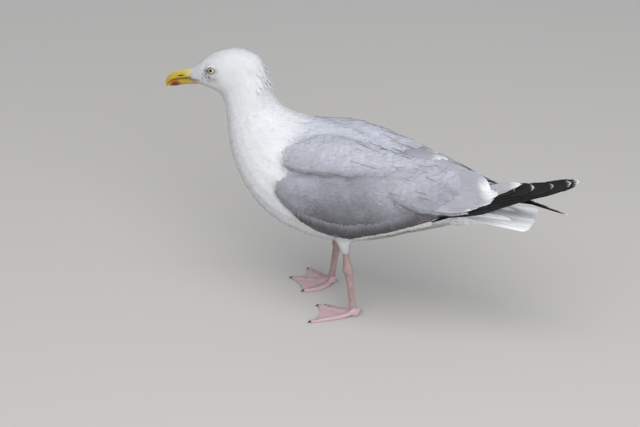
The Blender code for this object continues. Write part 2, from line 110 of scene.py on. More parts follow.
def set_surface(tree, colour, values, relief=None):
    """Sets the shader's colour, a hex value or a socket, and its other values. `relief` is (height, strength,
    depth in metres)."""
    shader = tree.nodes["Principled BSDF"]
    if isinstance(colour, str):
        shader.inputs["Base Color"].default_value = linear(colour)
    else:
        tree.links.new(colour, shader.inputs["Base Color"])
    if relief:
        bump = add(tree, "ShaderNodeBump", dict(zip(("Height", "Strength", "Distance"), relief)))
        tree.links.new(bump.outputs[0], shader.inputs["Normal"])
    for label, value in values.items():
        shader.inputs[label].default_value = value


def plain_finish(name, colour, roughness):
    made, tree = new_finish(name)
    set_surface(tree, colour, {"Roughness": roughness})
    return made


def settle(piece):
    """Makes the evaluated object its own plain mesh."""
    bpy.context.view_layer.update()
    graph = bpy.context.evaluated_depsgraph_get()
    mesh = bpy.data.meshes.new_from_object(
        piece.evaluated_get(graph), preserve_all_data_layers=True, depsgraph=graph
    )
    piece.modifiers.clear()
    old, piece.data = piece.data, mesh
    bpy.data.meshes.remove(old)
    mesh.name = piece.name
    return piece


def new_piece(name, mesh_or_bm):
    mesh = mesh_or_bm
    if isinstance(mesh_or_bm, bmesh.types.BMesh):
        mesh = bpy.data.meshes.new(name)
        mesh_or_bm.to_mesh(mesh)
        mesh_or_bm.free()
    piece = bpy.data.objects.new(name, mesh)
    bpy.context.scene.collection.objects.link(piece)
    return piece


def triangles(piece):
    return sum(len(p.vertices) - 2 for p in piece.data.polygons)


# %% [markdown]
# The stage comes first, so that every later step can be looked at. A plain pale floor carries the bird. One
# wide soft light hangs high over its left side, a weaker and lower one fills in from behind on the same side,
# and a pale sky does the rest, as on an overcast day. The camera is a long lens some three metres away, above
# the bird's left flank and a little behind it.

# %% Stage, light and camera
CAMERA_AZIMUTH, CAMERA_ELEVATION = math.radians(109), math.radians(28)
CAMERA_DISTANCE, CAMERA_LENS = 3.291, 132
CAMERA_AIM = Vector((-0.0465, -0.0758, 0.1039))


def aimed(thing, place, target):
    thing.location = place
    thing.rotation_euler = (Vector(target) - Vector(place)).to_track_quat("-Z", "Y").to_euler()
    bpy.context.scene.collection.objects.link(thing)


def soft_light(name, place, size, power, colour):
    lamp = bpy.data.lights.new(name, "AREA")
    lamp.size, lamp.energy, lamp.color = size, power, colour
    aimed(bpy.data.objects.new(name, lamp), place, (0, 0, 0.2))


camera = bpy.data.cameras.new("camera")
camera.lens, camera.clip_start = CAMERA_LENS, 0.05
camera_object = bpy.data.objects.new("camera", camera)
towards_camera = Vector(
    (
        math.sin(CAMERA_AZIMUTH) * math.cos(CAMERA_ELEVATION),
        -math.cos(CAMERA_AZIMUTH) * math.cos(CAMERA_ELEVATION),
        math.sin(CAMERA_ELEVATION),
    )
)
aimed(camera_object, CAMERA_AIM + towards_camera * CAMERA_DISTANCE, CAMERA_AIM)
bpy.context.scene.camera = camera_object
bpy.context.scene.view_settings.view_transform = "Standard"

soft_light("key", (1.2, 0.1, 2.7), size=2.8, power=51, colour=(1.0, 0.99, 0.98))
soft_light("fill", (2.0, 1.7, 1.3), size=1.8, power=31, colour=(0.97, 0.99, 1.0))

sky = bpy.data.worlds.new("sky")
sky.use_nodes = True
sky_light = sky.node_tree.nodes["Background"].inputs
sky_light["Color"].default_value = (0.85, 0.89, 0.95, 1)
sky_light["Strength"].default_value = 0.52
bpy.context.scene.world = sky

bm = bmesh.new()
bmesh.ops.create_grid(bm, x_segments=1, y_segments=1, size=4.0)
floor = new_piece("floor", bm)
floor.data.materials.append(plain_finish("matt pale floor", "#c4c1bd", 0.9))
print("Stage: floor, sky and", len(bpy.data.lights), "lights")

# %% [markdown]
# The head is turned a little, so its own directions are read from the frame. The line through both eyes gives
# its side, and what is square to that is its front. The bill droops from there by twenty degrees, and its
# frame has its origin under the nostrils: `s` runs forward, `h` up and `w` to the bird's left.

# %% Directions of the head and the bill


def box_middle(node):
    low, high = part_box(node)
    return (low + high) / 2


EYES = {word: box_middle(f"eye_{word}") for word in SIDES}
EYE_RADIUS = (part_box("eye_left")[1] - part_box("eye_left")[0]).z / 2
HEAD_SIDE = (EYES["left"] - EYES["right"]).normalized()
HEAD_FRONT = HEAD_SIDE.cross(UP).normalized()
BILL_DROOP = math.radians(20)
BILL_FRONT = HEAD_FRONT * math.cos(BILL_DROOP) - UP * math.sin(BILL_DROOP)
BILL_UP = HEAD_FRONT * math.sin(BILL_DROOP) + UP * math.cos(BILL_DROOP)
BILL_LENGTH, CULMEN_HEIGHT = 35.0 * MM, 12.8 * MM  # from the frame's origin to the hook, and to the ridge

upper = np.array([v.co for v in frame["nodes"]["bill_upper"].data.vertices])
BILL_ORIGIN = (
    BILL_FRONT * float((upper @ np.array(BILL_FRONT)).max() - BILL_LENGTH)
    + BILL_UP * float((upper @ np.array(BILL_UP)).max() - CULMEN_HEIGHT)
    + HEAD_SIDE * float((upper @ np.array(HEAD_SIDE)).mean())
)


def in_bill_frame(points):
    """Points as (s, h, w) in millimetres."""
    away = np.asarray(points) - np.array(BILL_ORIGIN)
    axes = np.array([BILL_FRONT, BILL_UP, HEAD_SIDE]).T
    return away @ axes / MM


def from_bill_frame(s, h, w):
    return BILL_ORIGIN + (BILL_FRONT * s + BILL_UP * h + HEAD_SIDE * w) * MM


# Each eye looks out, a little up and hardly back. The opening between its lids is a circle about that axis.
EYE_UP, EYE_BACK = 0.28, 0.05
EYE_OPENING = 4.25 * MM
EYE_SEAT = math.sqrt(EYE_RADIUS**2 - EYE_OPENING**2)  # how far out along the axis the opening lies


def eye_axes(word):
    axis = (HEAD_SIDE * SIDES[word] + UP * EYE_UP - HEAD_FRONT * EYE_BACK).normalized()
    ahead = (HEAD_FRONT - axis * HEAD_FRONT.dot(axis)).normalized()
    return axis, ahead, axis.cross(ahead)


print("Eye radius:", round(EYE_RADIUS, 4), "bill origin:", [round(c, 4) for c in BILL_ORIGIN])

# %% [markdown]
# The skin is one closed surface under all the plumage. Copies of the flesh solids are grown until they touch,
# fused with a voxel remesh, and smoothed, so that no seam between neck and trunk can show. The roots of the
# bill and the eyeballs are fused in too, so the skin closes round them. Then it is drawn in by the depth of the
# coat: hardly at all on the face, three millimetres on the breast.

# %% Fuse the flesh
FLESH = ["trunk", "neck", "head"]
FLESH += [f"{part}_{word}" for part in ("wing", "scapulars", "tertials", "thigh") for word in SIDES]
GROWTH = 0.35 * MM  # closes the gaps between the solids
VOXEL = 2.0 * MM
BILL_CUT = -3  # mm along the bill: only what lies behind is fused in
ROUNDING = 0.52  # how far every other pass moves back, so that smoothing hardly shrinks a shape


def merged_copy(names):
    """Copies of CAD nodes in one bmesh, with the doubles of their loose triangles merged."""
    bm = bmesh.new()
    for name in names:
        bm.from_mesh(frame["nodes"][name].data)
    bmesh.ops.remove_doubles(bm, verts=bm.verts, dist=0.01 * MM)
    bm.normal_update()
    return bm


def grown(bm, by):
    for vert in bm.verts:
        vert.co += vert.normal * by
    return bm


def fused(name, bm, voxel):
    piece = new_piece(name, bm)
    modifier = piece.modifiers.new("voxels", "REMESH")
    modifier.mode = "VOXEL"
    modifier.voxel_size = voxel
    return settle(piece)


def vectors_of(data, field):
    found = np.empty(len(data) * 3, np.float32)
    data.foreach_get(field, found)
    return found.reshape(-1, 3).astype(float)


def coords(mesh, field="co"):
    return vectors_of(mesh.vertices, field)


def set_coords(mesh, co):
    mesh.vertices.foreach_set("co", np.ascontiguousarray(co, np.float32).ravel())
    mesh.update()


def edge_ends(mesh):
    ends = np.empty(len(mesh.edges) * 2, np.int32)
    mesh.edges.foreach_get("vertices", ends)
    return ends.reshape(-1, 2)


def relaxed(values, ends, passes, back=0.0, weights=None):
    """Values on vertices, each moved half way to its neighbours' mean, again and again. With `back`, every
    other pass moves the other way by that share, which smooths bumps but keeps the volume. `weights` says how
    much each edge counts."""
    values = np.array(values, float)
    flat = values.reshape(len(values), -1)
    weights = np.ones(len(ends)) if weights is None else weights
    a, b = ends.T
    count = np.bincount(a, weights, len(flat)) + np.bincount(b, weights, len(flat))
    count = np.maximum(count, 1e-9)[:, None]
    for k in range(passes):
        share = -back if back and k % 2 else 0.5
        near = [
            np.bincount(a, weights * column[b], len(flat)) + np.bincount(b, weights * column[a], len(flat))
            for column in flat.T
        ]
        flat = flat + share * (np.stack(near, 1) / count - flat)
    return flat.reshape(values.shape)


bill_root = merged_copy(["bill_upper", "bill_lower"])
bmesh.ops.bisect_plane(
    bill_root,
    geom=bill_root.verts[:] + bill_root.edges[:] + bill_root.faces[:],
    plane_co=from_bill_frame(BILL_CUT, 0, 0),
    plane_no=BILL_FRONT,
    clear_outer=True,
)
bmesh.ops.holes_fill(bill_root, edges=[e for e in bill_root.edges if e.is_boundary])
root_mesh = bpy.data.meshes.new("bill_root")
bill_root.to_mesh(root_mesh)
bill_root.free()

bm = merged_copy(FLESH + ["eye_left", "eye_right"])
bm.from_mesh(root_mesh)
bm.normal_update()
skin = fused("skin", grown(bm, GROWTH), VOXEL)
ends = edge_ends(skin.data)
set_coords(skin.data, relaxed(coords(skin.data), ends, 12, back=ROUNDING))
print("Skin:", len(skin.data.vertices), "points")

# %% [markdown]
# To dress the skin, each of its points has to know where it is on the bird. The nearest solid gives the part:
# head, neck, trunk, wing. A line through the middle of the body, from the bill to the tail, gives how far back
# it is, and which way the feathers lie: always along that line, away from the bill.

# %% Which part each point belongs to
PARTS = ["head", "neck", "trunk", "thigh", "wing", "scapulars", "tertials", "eye", "bill"]
HEAD, NECK, TRUNK, THIGH, WING, SCAPULARS, TERTIALS, EYE, BILL = range(len(PARTS))


def tree_of(bm):
    tree = BVHTree.FromBMesh(bm)
    bm.free()
    return tree


part_trees = [
    tree_of(merged_copy([n for n in frame["nodes"] if n.startswith(word)])) for word in PARTS
]
rest = coords(skin.data)
gaps = np.array([[tree.find_nearest(Vector(p))[3] for tree in part_trees] for p in rest])
part = gaps.argmin(1)

TRUNK_LINE = ((-0.135, 0.222), (-0.085, 0.196), (-0.020, 0.186), (0.080, 0.180), (0.170, 0.174), (0.260, 0.168))
SPINE = [
    from_bill_frame(-6, 2, 0),
    box_middle("head") + Vector((0, 0.004, 0)),
    box_middle("neck") + Vector((0, 0.004, 0.002)),
    *[Vector((0, y, z)) for y, z in TRUNK_LINE],
]


def smooth_line(points, steps):
    """Points read off a smooth curve through the given ones."""
    rows = np.array([list(p) for p in points], float)
    padded = np.vstack([2 * rows[0] - rows[1], rows, 2 * rows[-1] - rows[-2]])
    found = []
    for a, b, c, d in zip(padded, padded[1:], padded[2:], padded[3:]):
        for t in np.arange(steps) / steps:
            found.append(b + 0.5 * t * (c - a + t * (2 * a - 5 * b + 4 * c - d + t * (3 * (b - c) + d - a))))
    return np.array([*found, rows[-1]])


def unit(rows, least=1e-6):
    """Vectors, one to a row, brought to length one."""
    return rows / np.maximum(np.linalg.norm(rows, axis=1, keepdims=True), least)


spine = smooth_line(SPINE, 12)
spine_step = np.diff(spine, axis=0)
spine_travel = np.concatenate([[0], np.cumsum(np.linalg.norm(spine_step, axis=1))])
spine_heading = unit(np.gradient(spine, axis=0))

# A point takes a blend of the whole line, weighted by nearness, so that the lie turns gently at the throat.
away = np.linalg.norm(rest[:, None, :] - spine[None], axis=2)
BLEND = 0.010  # metres
weight = np.exp(-((away - away.min(1, keepdims=True)) / BLEND))
weight /= weight.sum(1, keepdims=True)
travel = weight @ spine_travel
heading = weight @ spine_heading
print("Spine:", round(spine_travel[-1], 3), "m long; parts:", np.bincount(part, minlength=len(PARTS)))

# %% [markdown]
# Now the fields that the coat grows by: one number or direction for each point of the skin. They are made from
# soft steps, soft spots and noise, and from places read off the wing's solid. The first is the foot of the
# folded wing, the lower edge that its feathers hang down to.

# %% Tools for fields, and the foot of the wing
from mathutils import noise


def ramp(x, low, high):
    t = np.clip((np.asarray(x, float) - low) / (high - low), 0, 1)
    return t * t * (3 - 2 * t)


def ripple(points, size, offset=0.0):
    """Smooth noise from -1 to 1 whose lumps are about `size` across."""
    return np.array([noise.noise(Vector(p) / size + Vector((offset, 0, 0))) for p in points]) * 1.6


def nearness(points, middle, size):
    """1 at a place, fading softly to almost nothing at twice `size` from it."""
    return np.exp(-((np.linalg.norm(points - np.array(middle), axis=1) / size) ** 2))


x, y, z = rest.T
normal = unit(relaxed(coords(skin.data, "normal"), ends, 3))

on_wing, on_scapulars, on_tertials = part == WING, part == SCAPULARS, part == TERTIALS
wing_low, wing_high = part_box("wing_left")
wing_rows = np.linspace(wing_low.y, wing_high.y, 25)
wing_points = coords(frame["nodes"]["wing_left"].data)


def row_edge(rows, points, pick):
    """The lowest or highest z of points in a band round each row's y."""
    half = (rows[1] - rows[0]) * 1.2
    return np.array([pick(points[np.abs(points[:, 1] - row) < half, 2]) for row in rows])


# The solid's lower edge, as heights at rows of y, smoothed a little, and how far the feathers hang below it
foot_heights = np.convolve(
    np.pad(row_edge(wing_rows, wing_points, np.min), 1, mode="edge"), [0.25, 0.5, 0.25], "valid"
)
FOOT_DROP_AT, FOOT_DROP = (-0.02, 0.02, 0.05, 0.10, 0.14), (0, 5, 10, 9, 9)  # y, and millimetres
foot_drop = np.interp(wing_rows, FOOT_DROP_AT, FOOT_DROP) * MM


def wing_foot(at_y):
    return np.interp(at_y, wing_rows, foot_heights - foot_drop)


# Behind the thigh the feathers of the wing hang over the trunk's flank, so that flank counts as wing
above_foot = z - wing_foot(y)
flank = (part == TRUNK) & (np.abs(x) > 0.012) & (z < 0.19)
on_wing = on_wing | (flank & (y > 0) & (y < 0.088) & (above_foot > 0))
folded = on_wing | on_scapulars | on_tertials
print("Foot of the wing, mm:", [round(float(height) / MM) for height in (foot_heights - foot_drop)[::8]])

# %% [markdown]
# `lie` is the way a feather points. On the body that is back along the line through its middle. On the folded
# wing the feathers point back along its top and steeply down along its foot, because the wing is a closed fan.
# Smoothing blends the parts into each other, and a slow noise lets the feathers wander a little.

# %% The lie of the feathers
WING_FALL, WING_FOOT_FALL, SCAPULAR_FALL, TERTIAL_FALL = (math.radians(angle) for angle in (16, 54, 15, 12))
THIGH_LIE = (0, 0.25, -0.97)
lie = heading.copy()
fall = WING_FALL + (WING_FOOT_FALL - WING_FALL) * (1 - ramp(above_foot, 0.012, 0.080))
fall = fall * (1 - 0.5 * ramp(y, 0.05, 0.15))
fall = np.where(on_scapulars, SCAPULAR_FALL, fall)
fall = np.where(on_tertials, TERTIAL_FALL, fall)
lie[folded] = np.stack([0 * fall, np.cos(fall), -np.sin(fall)], 1)[folded]
lie[part == THIGH] = THIGH_LIE
wander = 0.16 * ripple(rest, 0.018) + 0.08 * ripple(rest, 0.007, 9)
for _ in range(3):
    lie = relaxed(lie, ends, 8)
    lie -= normal * (lie * normal).sum(1, keepdims=True)
    lie = unit(lie)
lie = unit(lie + np.cross(normal, lie) * wander[:, None])
print("Mean slope of the wing's feathers:", round(float(lie[on_wing, 2].mean()), 2))

# %% [markdown]
# `reach` is a feather's length: two millimetres at the bill, nearly twenty on the belly, as on the real bird.
# It grows with the way back from the bill, has its own values on the wing and the thigh, and stays short close
# to the eyes and the bill. The numbers are millimetres until the last line.

# %% The length of the feathers
to_eye = np.minimum(*[np.linalg.norm(rest - np.array(EYES[word]), axis=1) for word in SIDES]) - EYE_RADIUS
to_bill = gaps[:, BILL]
reach = np.interp(
    travel / MM,
    (0, 18, 40, 62, 85, 110, 150, 210, 300, 420, 600),
    (2.2, 2.6, 3.8, 5.2, 7.5, 9.5, 12.5, 15, 17, 19, 22),
)
reach = np.where(on_wing, np.interp(y, (-0.11, -0.07, 0.0, 0.08), (6.5, 9.5, 13.5, 15)), reach)
reach = np.where(on_wing, reach * (0.62 + 0.38 * ramp(0.230 - z, 0.0, 0.03)), reach)
reach = np.where(on_scapulars, np.interp(y, (-0.11, -0.06, 0.02, 0.10), (10, 15, 21, 24)), reach)
reach = np.where(on_tertials, 22.0, reach)
reach = np.where(part == THIGH, 7.0, reach)
reach = np.where(folded, reach, np.minimum(reach, 1.9 + 0.34 * to_eye / MM))
reach = np.minimum(reach, 2.0 + 0.42 * to_bill / MM)
reach = relaxed(reach * MM, ends, 10)
print("Feather lengths, mm:", round(reach.min() / MM, 1), "to", round(reach.max() / MM, 1))

# %% [markdown]
# `depth` is how far the skin is drawn in below the plumage's surface: the longer the feathers, the deeper. On
# the hind neck and the crown they stand fuller, so there the skin is drawn in less. Broad low lumps keep the
# plumage from looking cast. Then the valleys along the back, and between wing and tertials, are filled, because
# feathers bridge them; the crease under the scapulars stays.

# %% The depth of the coat
depth = np.interp(reach / MM, (2, 4, 8, 12, 18), (0.7, 1.0, 1.7, 2.3, 3.0)) * MM
depth = np.where(part == THIGH, 1.5 * MM, depth)
depth = relaxed(np.where(part == BILL, 2.6 * MM, np.where(part == EYE, 0.9 * MM, depth)), ends, 5)
NAPE = (-0.004, -0.160, 0.345)  # where the raised feathers behind the crown are fullest
hind_neck = ramp(-normal @ np.array(HEAD_FRONT), 0.0, 0.7) * ramp(travel, 0.045, 0.075) * ramp(z, 0.27, 0.30)
depth -= 2.8 * MM * hind_neck
depth -= 1.4 * MM * ramp(z, 0.322, 0.348) * (part == HEAD)
depth -= 3.2 * MM * nearness(rest, NAPE, 0.018)
lumps = np.where(folded, 0.9 * MM * ripple(rest, 0.022, 3), 0.35 * MM * ripple(rest, 0.03, 5))
lumps *= ramp(travel, 0.06, 0.12)
under = rest - normal * depth[:, None] + normal * relaxed(lumps, ends, 4)[:, None]
under = relaxed(under, ends, 2)

level = relaxed(under, ends, 260)
valley = np.maximum(((level - under) * normal).sum(1), 0)
filled = np.maximum(ramp(y, -0.005, 0.030), ramp(y, -0.07, -0.03) * ramp(normal[:, 2], 0.25, 0.55))
under += normal * relaxed(valley * filled * (1 - ramp(y, 0.15, 0.18)), ends, 6)[:, None]
print("Skin drawn in by", round(float(depth.mean()) / MM, 1), "mm on average")

# %% [markdown]
# Where one group of feathers ends over the next, a shallow groove runs between them: under the front of the
# scapulars, behind them, over the shoulder, and twice along the tertials. Each is a line near the skin, dented
# in with soft sides and painted a little darker along it as shade. The skin is also pressed back behind each
# eye's lids, so that it leaves their opening free.

# %% Grooves between groups of feathers, and room for the eyes
GROOVES = (  # x, y and z in mm on the left side; width and depth in mm, and how much painted shade darkens it at its start and end
    (
        ((52, -102, 217), (54, -84, 214), (58, -62, 217), (61, -40, 224), (60, -22, 225), (53, -4, 219)),
        (3.2, 1.9, 0.36, 0.05),
    ),
    (
        ((44, 19, 246), (37, 44, 243), (31, 63, 240), (25, 77, 239), (14, 97, 240), (6, 116, 237)),
        (2.4, 1.4, 0.10, 0.34),
    ),
    (
        ((43, -103, 238), (40, -89, 249), (32, -70, 258), (19, -56, 261), (11, -40, 263)),
        (3.4, 1.2, 0.16, 0.02),
    ),
    (
        ((27, 92, 229), (29, 105, 225), (31, 115, 220), (31, 127, 213), (32, 138, 208)),
        (2.2, 1.1, 0.10, 0.22),
    ),
    (((34, 60, 232), (36, 80, 226), (40, 98, 218), (41, 116, 208)), (2.4, 0.9, 0.05, 0.14)),
)
MIDDLE_X = -4.0  # mm; the body's middle plane


def nearest_on_line(points, line):
    """Distance of points from a line, and how far along it they are as a share."""
    away = np.linalg.norm(points[:, None, :] - line[None], axis=2)
    return away.min(1), away.argmin(1) / (len(line) - 1)


groove_shade = np.zeros(len(rest))
before = under.copy()
for line, (width, deep, first, last) in GROOVES:
    for side in SIDES.values():
        own = np.array(line, float)
        if side == RIGHT:
            own[:, 0] = 2 * MIDDLE_X - own[:, 0]
        gap, share = nearest_on_line(before, smooth_line(own * MM, 14))
        dip = np.exp(-((gap / (width * MM)) ** 2)) * ramp(share, -0.05, 0.15)
        under -= normal * (dip * deep * MM)[:, None]
        # painted shade along the groove, from its start to its end
        groove_shade += dip * (first + (last - first) * share)
for word in SIDES:
    axis = eye_axes(word)[0]
    away = under - np.array(EYES[word])
    along = away @ np.array(axis)
    across = np.linalg.norm(away - along[:, None] * np.array(axis), axis=1)
    room = EYE_SEAT - 0.9 * MM + np.maximum(across - EYE_OPENING - 0.5 * MM, 0) * 1.1
    too_high = np.where((across < 9 * MM) & (along > 0), np.maximum(along - room, 0), 0)
    under -= too_high[:, None] * np.array(axis)
set_coords(skin.data, under)
flow = unit(relaxed(coords(skin.data, "normal"), ends, 6))
print("Grooves:", len(GROOVES), "on each side; darkest", round(float(groove_shade.max()), 2))

# %% [markdown]
# Skin and coat carry the same markings, so both read them from the skin: how grey, how brown and how dusky a
# point is, and how light. The mantle, the scapulars and the wings are grey, with a soft border over the
# shoulder; the rest is white. The foot of the wing is browner, and dusky smudges lie before and behind the eye.

# %% Markings
white_border = ramp(y - (z - 0.215), 0.160, 0.184)  # of the tertials: lower down it lies further forward
grey = np.where(folded, 1.0 - np.where(on_tertials, white_border, 0), 0.0)
back = (part == TRUNK) & (normal[:, 2] > 0.25) & (z > 0.20)
grey = np.where(back, ramp(y, -0.104, -0.076) * (1 - ramp(y, 0.11, 0.13)), grey)
grey = np.where(on_scapulars, ramp(y + 0.25 * (z - 0.24), -0.113, -0.092), grey)
soft_grey = relaxed(grey, ends, 160)
softness = np.maximum(1 - ramp(y, -0.075, -0.030), 0.1) * ramp(z, 0.125, 0.185)
grey = relaxed(grey, ends, 5) * (1 - softness) + soft_grey * softness

# Streaks: random numbers smoothed only along the lie
span = unit(rest[ends[:, 1]] - rest[ends[:, 0]], 1e-9)
along_lie = np.abs((span * lie[ends[:, 0]]).sum(1)) ** 6
streak = relaxed(np.random.default_rng(7).normal(size=len(rest)), ends, 24, weights=along_lie)
streak = np.clip(streak / streak.std(), -2.5, 2.5)

brown = np.where(on_wing, 0.65 * (1 - ramp(above_foot, 0.015, 0.060)) * ramp(y, -0.090, -0.045), 0.0)
brown += np.where(folded, 0.06 + 0.12 * ripple(rest, 0.02, 21) + 0.05 * streak, 0.0)
brown = np.clip(relaxed(brown, ends, 2), 0, 1)


def smudge(s, h, side, across, along, strength):
    """A soft dusky patch at a place in the bill's frame, in millimetres."""
    away = in_bill_frame(rest) - np.array((s, h, 0))
    off = np.hypot(away[:, 0] / along, away[:, 1] / across)
    return strength * np.exp(-(off**2)) * (away[:, 2] * side > 4)


SMUDGES = (  # s and h from the eye, half height, half length, strength, and whether it is broken into specks
    (6.8, 1.8, 2.8, 4.0, 1.0, False),
    (13.0, -1.0, 5.0, 6.0, 0.26, False),
    (0, 0, 6.6, 6.6, 0.40, False),
    (-7.5, -0.5, 3.6, 3.4, 0.35, False),
    (1.0, -11.0, 3.4, 11.0, 0.28, False),
    (9.0, -4.0, 9.5, 14.0, 1.05, True),
)
eye_s, eye_h = in_bill_frame([EYES["left"]])[0][:2]
specks = np.clip(2.2 * ripple(rest, 0.0026, 71), 0, 1)
dusk = 0.0
for side in SIDES.values():
    for s, h, across, along, strength, speckled in SMUDGES:
        patch = smudge(eye_s + s, eye_h + h, side, across, along, strength)
        dusk = dusk + patch * (specks if speckled else 1)
head_streaks = np.clip(streak, 0, 2) * ramp(travel, 0.015, 0.03) * (1 - ramp(travel, 0.06, 0.10))
dusk = np.clip(dusk + 0.06 * head_streaks, 0, 1)

print("Dusky share of the skin:", round(float(dusk.mean()), 3))

# %% [markdown]
# `tone` is light and dark, a factor on every colour. Plumage isn't even: the wing is mottled below the
# scapulars, and the plumage is streaked. Much of `tone` is painted light and shade, though: the wing, scapulars
# and tertials are darker lower down, with a patch of painted light on the wing; the grooves get painted shade,
# and the belly is darker from beneath, which is painted shade and partly soiling.

# %% Light and dark
tone = 1.0 + 0.012 * ripple(rest, 0.016, 41) + 0.005 * streak
mottle = 0.5 + 0.5 * ripple(rest * (1, 1, 1.4), 0.012, 61)
painted_light_patch = nearness(np.abs(rest), (0.048, 0.064, 0.212), 0.026)  # a paler patch of painted light, on both sides
# Painted shade: the wing darker lower down, along its foot and in the middle of the coverts; brighter in the
# patch of painted light
wing_shade = 0.55 + 0.29 * ramp(z, 0.180, 0.232) + 0.15 * painted_light_patch
wing_shade -= 0.11 * (1 - ramp(above_foot, 0.030, 0.060)) * ramp(y, -0.08, -0.03)
wing_shade -= 0.13 * ramp(y, -0.07, -0.03) * (1 - ramp(y, 0.02, 0.05))
tone = np.where(on_wing, tone * wing_shade * (0.88 + 0.16 * mottle + 0.035 * streak), tone)
# Painted shade: the scapulars darker lower down
tone = np.where(on_scapulars, tone * (0.66 + 0.23 * ramp(z, 0.218, 0.256)) + 0.028 * streak, tone)
# Painted shade: the tertials darker lower down, brighter in the patch of painted light
tertial_shade = 0.53 + 0.27 * ramp(z, 0.195, 0.240) + 0.08 * painted_light_patch + 0.12 * ramp(y, 0.12, 0.16)
tone = np.where(on_tertials, tone * tertial_shade * (0.96 + 0.08 * mottle) + 0.015 * streak, tone)
# Painted shade in the grooves
tone *= 1 - np.clip(groove_shade, 0, 0.5)
# Painted shade beneath the trunk and thighs, deepest under the rear belly; partly soiling as well
underside = ramp(-normal[:, 2], -0.1, 0.8) * np.isin(part, (TRUNK, THIGH))
tone *= 1 - underside * (0.11 + 0.42 * ramp(y, -0.06, 0.05) - 0.22 * ramp(y, 0.10, 0.15))
tone *= 1 + 0.026 * streak * ramp(travel, 0.025, 0.045) * (1 - ramp(travel, 0.13, 0.18))
tone *= 1 - 0.09 * ramp(travel, 0.05, 0.09) * (1 - ramp(travel, 0.15, 0.21))  # the neck
tone = np.where(part == THIGH, tone * (0.70 + 0.30 * ramp(z, 0.098, 0.125)), tone)
tone = relaxed(tone, ends, 1)
print("Grey share of the skin:", round(float(grey.mean()), 2))

# %% [markdown]
# The skin is divided into tracts, patches with feathers of their own kind. A few faces belong to none, because
# other pieces cover them. The fields are stored as attributes, which Geometry Nodes and materials can both
# read, and the skin is unwrapped for the texture bake.

# %% Store the fields on the skin
AREAS = ("face", "crown", "nape", "neck", "breast", "belly", "mantle", "scapulars", "coverts", "tertials")
TRACTS = {area: number for number, area in enumerate(AREAS, 1)}
tract = np.zeros(len(rest), int)
tract[part == HEAD] = np.where(travel < 0.040, TRACTS["face"], TRACTS["crown"])[part == HEAD]
tract[part == NECK] = TRACTS["neck"]
facing_back = normal @ np.array(HEAD_FRONT) < -0.76
at_nape = np.isin(part, (HEAD, NECK)) & (travel > 0.060) & facing_back & (z > 0.312)
tract[at_nape] = TRACTS["nape"]
white_trunk = (part == TRUNK) & (grey < 0.5)
tract[white_trunk] = np.where(y < -0.035, TRACTS["breast"], TRACTS["belly"])[white_trunk]
tract[part == THIGH] = TRACTS["belly"]
tract[(part == TRUNK) & (grey >= 0.5)] = TRACTS["mantle"]
tract[on_scapulars] = TRACTS["scapulars"]
tract[on_wing] = TRACTS["coverts"]
tract[on_tertials & (white_border < 0.02)] = TRACTS["tertials"]


def store(mesh, name, values, kind="FLOAT", domain="POINT"):
    field = "vector" if kind == "FLOAT_VECTOR" else "value"
    attribute = mesh.attributes.new(name, kind, domain)
    values = np.asarray(values, np.int32 if kind == "INT" else np.float32)
    attribute.data.foreach_set(field, np.ascontiguousarray(values).ravel())


corner_starts = np.array([p.vertices[0] for p in skin.data.polygons])
store(skin.data, "tract", tract[corner_starts], "INT", "FACE")
store(skin.data, "lie", lie, "FLOAT_VECTOR")
store(skin.data, "reach", reach)
store(skin.data, "flow", flow, "FLOAT_VECTOR")
store(skin.data, "marks", np.stack([grey, brown, dusk], 1), "FLOAT_VECTOR")
store(skin.data, "tone", tone)
skin.data.shade_smooth()

bpy.context.view_layer.objects.active = skin
skin.select_set(True)
bpy.ops.object.mode_set(mode="EDIT")
bpy.ops.mesh.select_all(action="SELECT")
bpy.ops.uv.smart_project(angle_limit=math.radians(66), island_margin=0.002)
bpy.ops.object.mode_set(mode="OBJECT")
skin.select_set(False)
skin.data.uv_layers[0].name = "SkinMap"
print("Skin is", triangles(skin), "triangles; unwrapped as", skin.data.uv_layers[0].name)

# %% [markdown]
# A feather of the coat is a small vane: narrow at the root, round at the end, with its barbs parted into a
# ragged fringe. It is a few dozen faces, because there will be tens of thousands. Each kind has four variants
# with their own ragged ends, so that no two neighbours match. It is drawn flat and one metre long, along +Y.
# Each copy is scaled to its own length, and bent over the body where it lands.

# %% Feather shapes
VARIANTS = 4


def feather_shape(name, width, strips, rows, fringe, roundness, seed):
    """A vane of `strips` across and `rows` along. The fringe is the share of its length in loose barbs."""
    rng = np.random.default_rng(seed)
    bm = bmesh.new()
    vane_map = bm.loops.layers.uv.new("Vane")
    across = np.linspace(-1, 1, strips + 1)

    def vertex(u, t):
        full = 1 - roundness * abs(u) ** 2.3
        half = width / 2 * (0.34 + 0.66 * math.sin(math.pi / 2 * min(1, t / 0.55)))
        vert = bm.verts.new((u * half, t * full, 0))
        where[vert] = (u / 2 + 0.5, t)
        return vert

    where = {}
    grid = [[vertex(u, (1 - fringe) * k / rows) for u in across] for k in range(rows + 1)]
    faces = []
    for low, high in zip(grid, grid[1:]):
        faces += [bm.faces.new((a, b, c, d)) for a, b, c, d in zip(low, low[1:], high[1:], high)]
    for u, v, a, b in zip(across, across[1:], grid[-1], grid[-1][1:]):
        tip = vertex((u + v) / 2 + rng.uniform(-0.06, 0.06), 1 - fringe * rng.uniform(0.0, 0.75))
        faces.append(bm.faces.new((a, b, tip)))
    for face in faces:
        face.smooth = True
        for loop in face.loops:
            loop[vane_map].uv = where[loop.vert]
    bm.normal_update()
    return new_piece(name, bm)


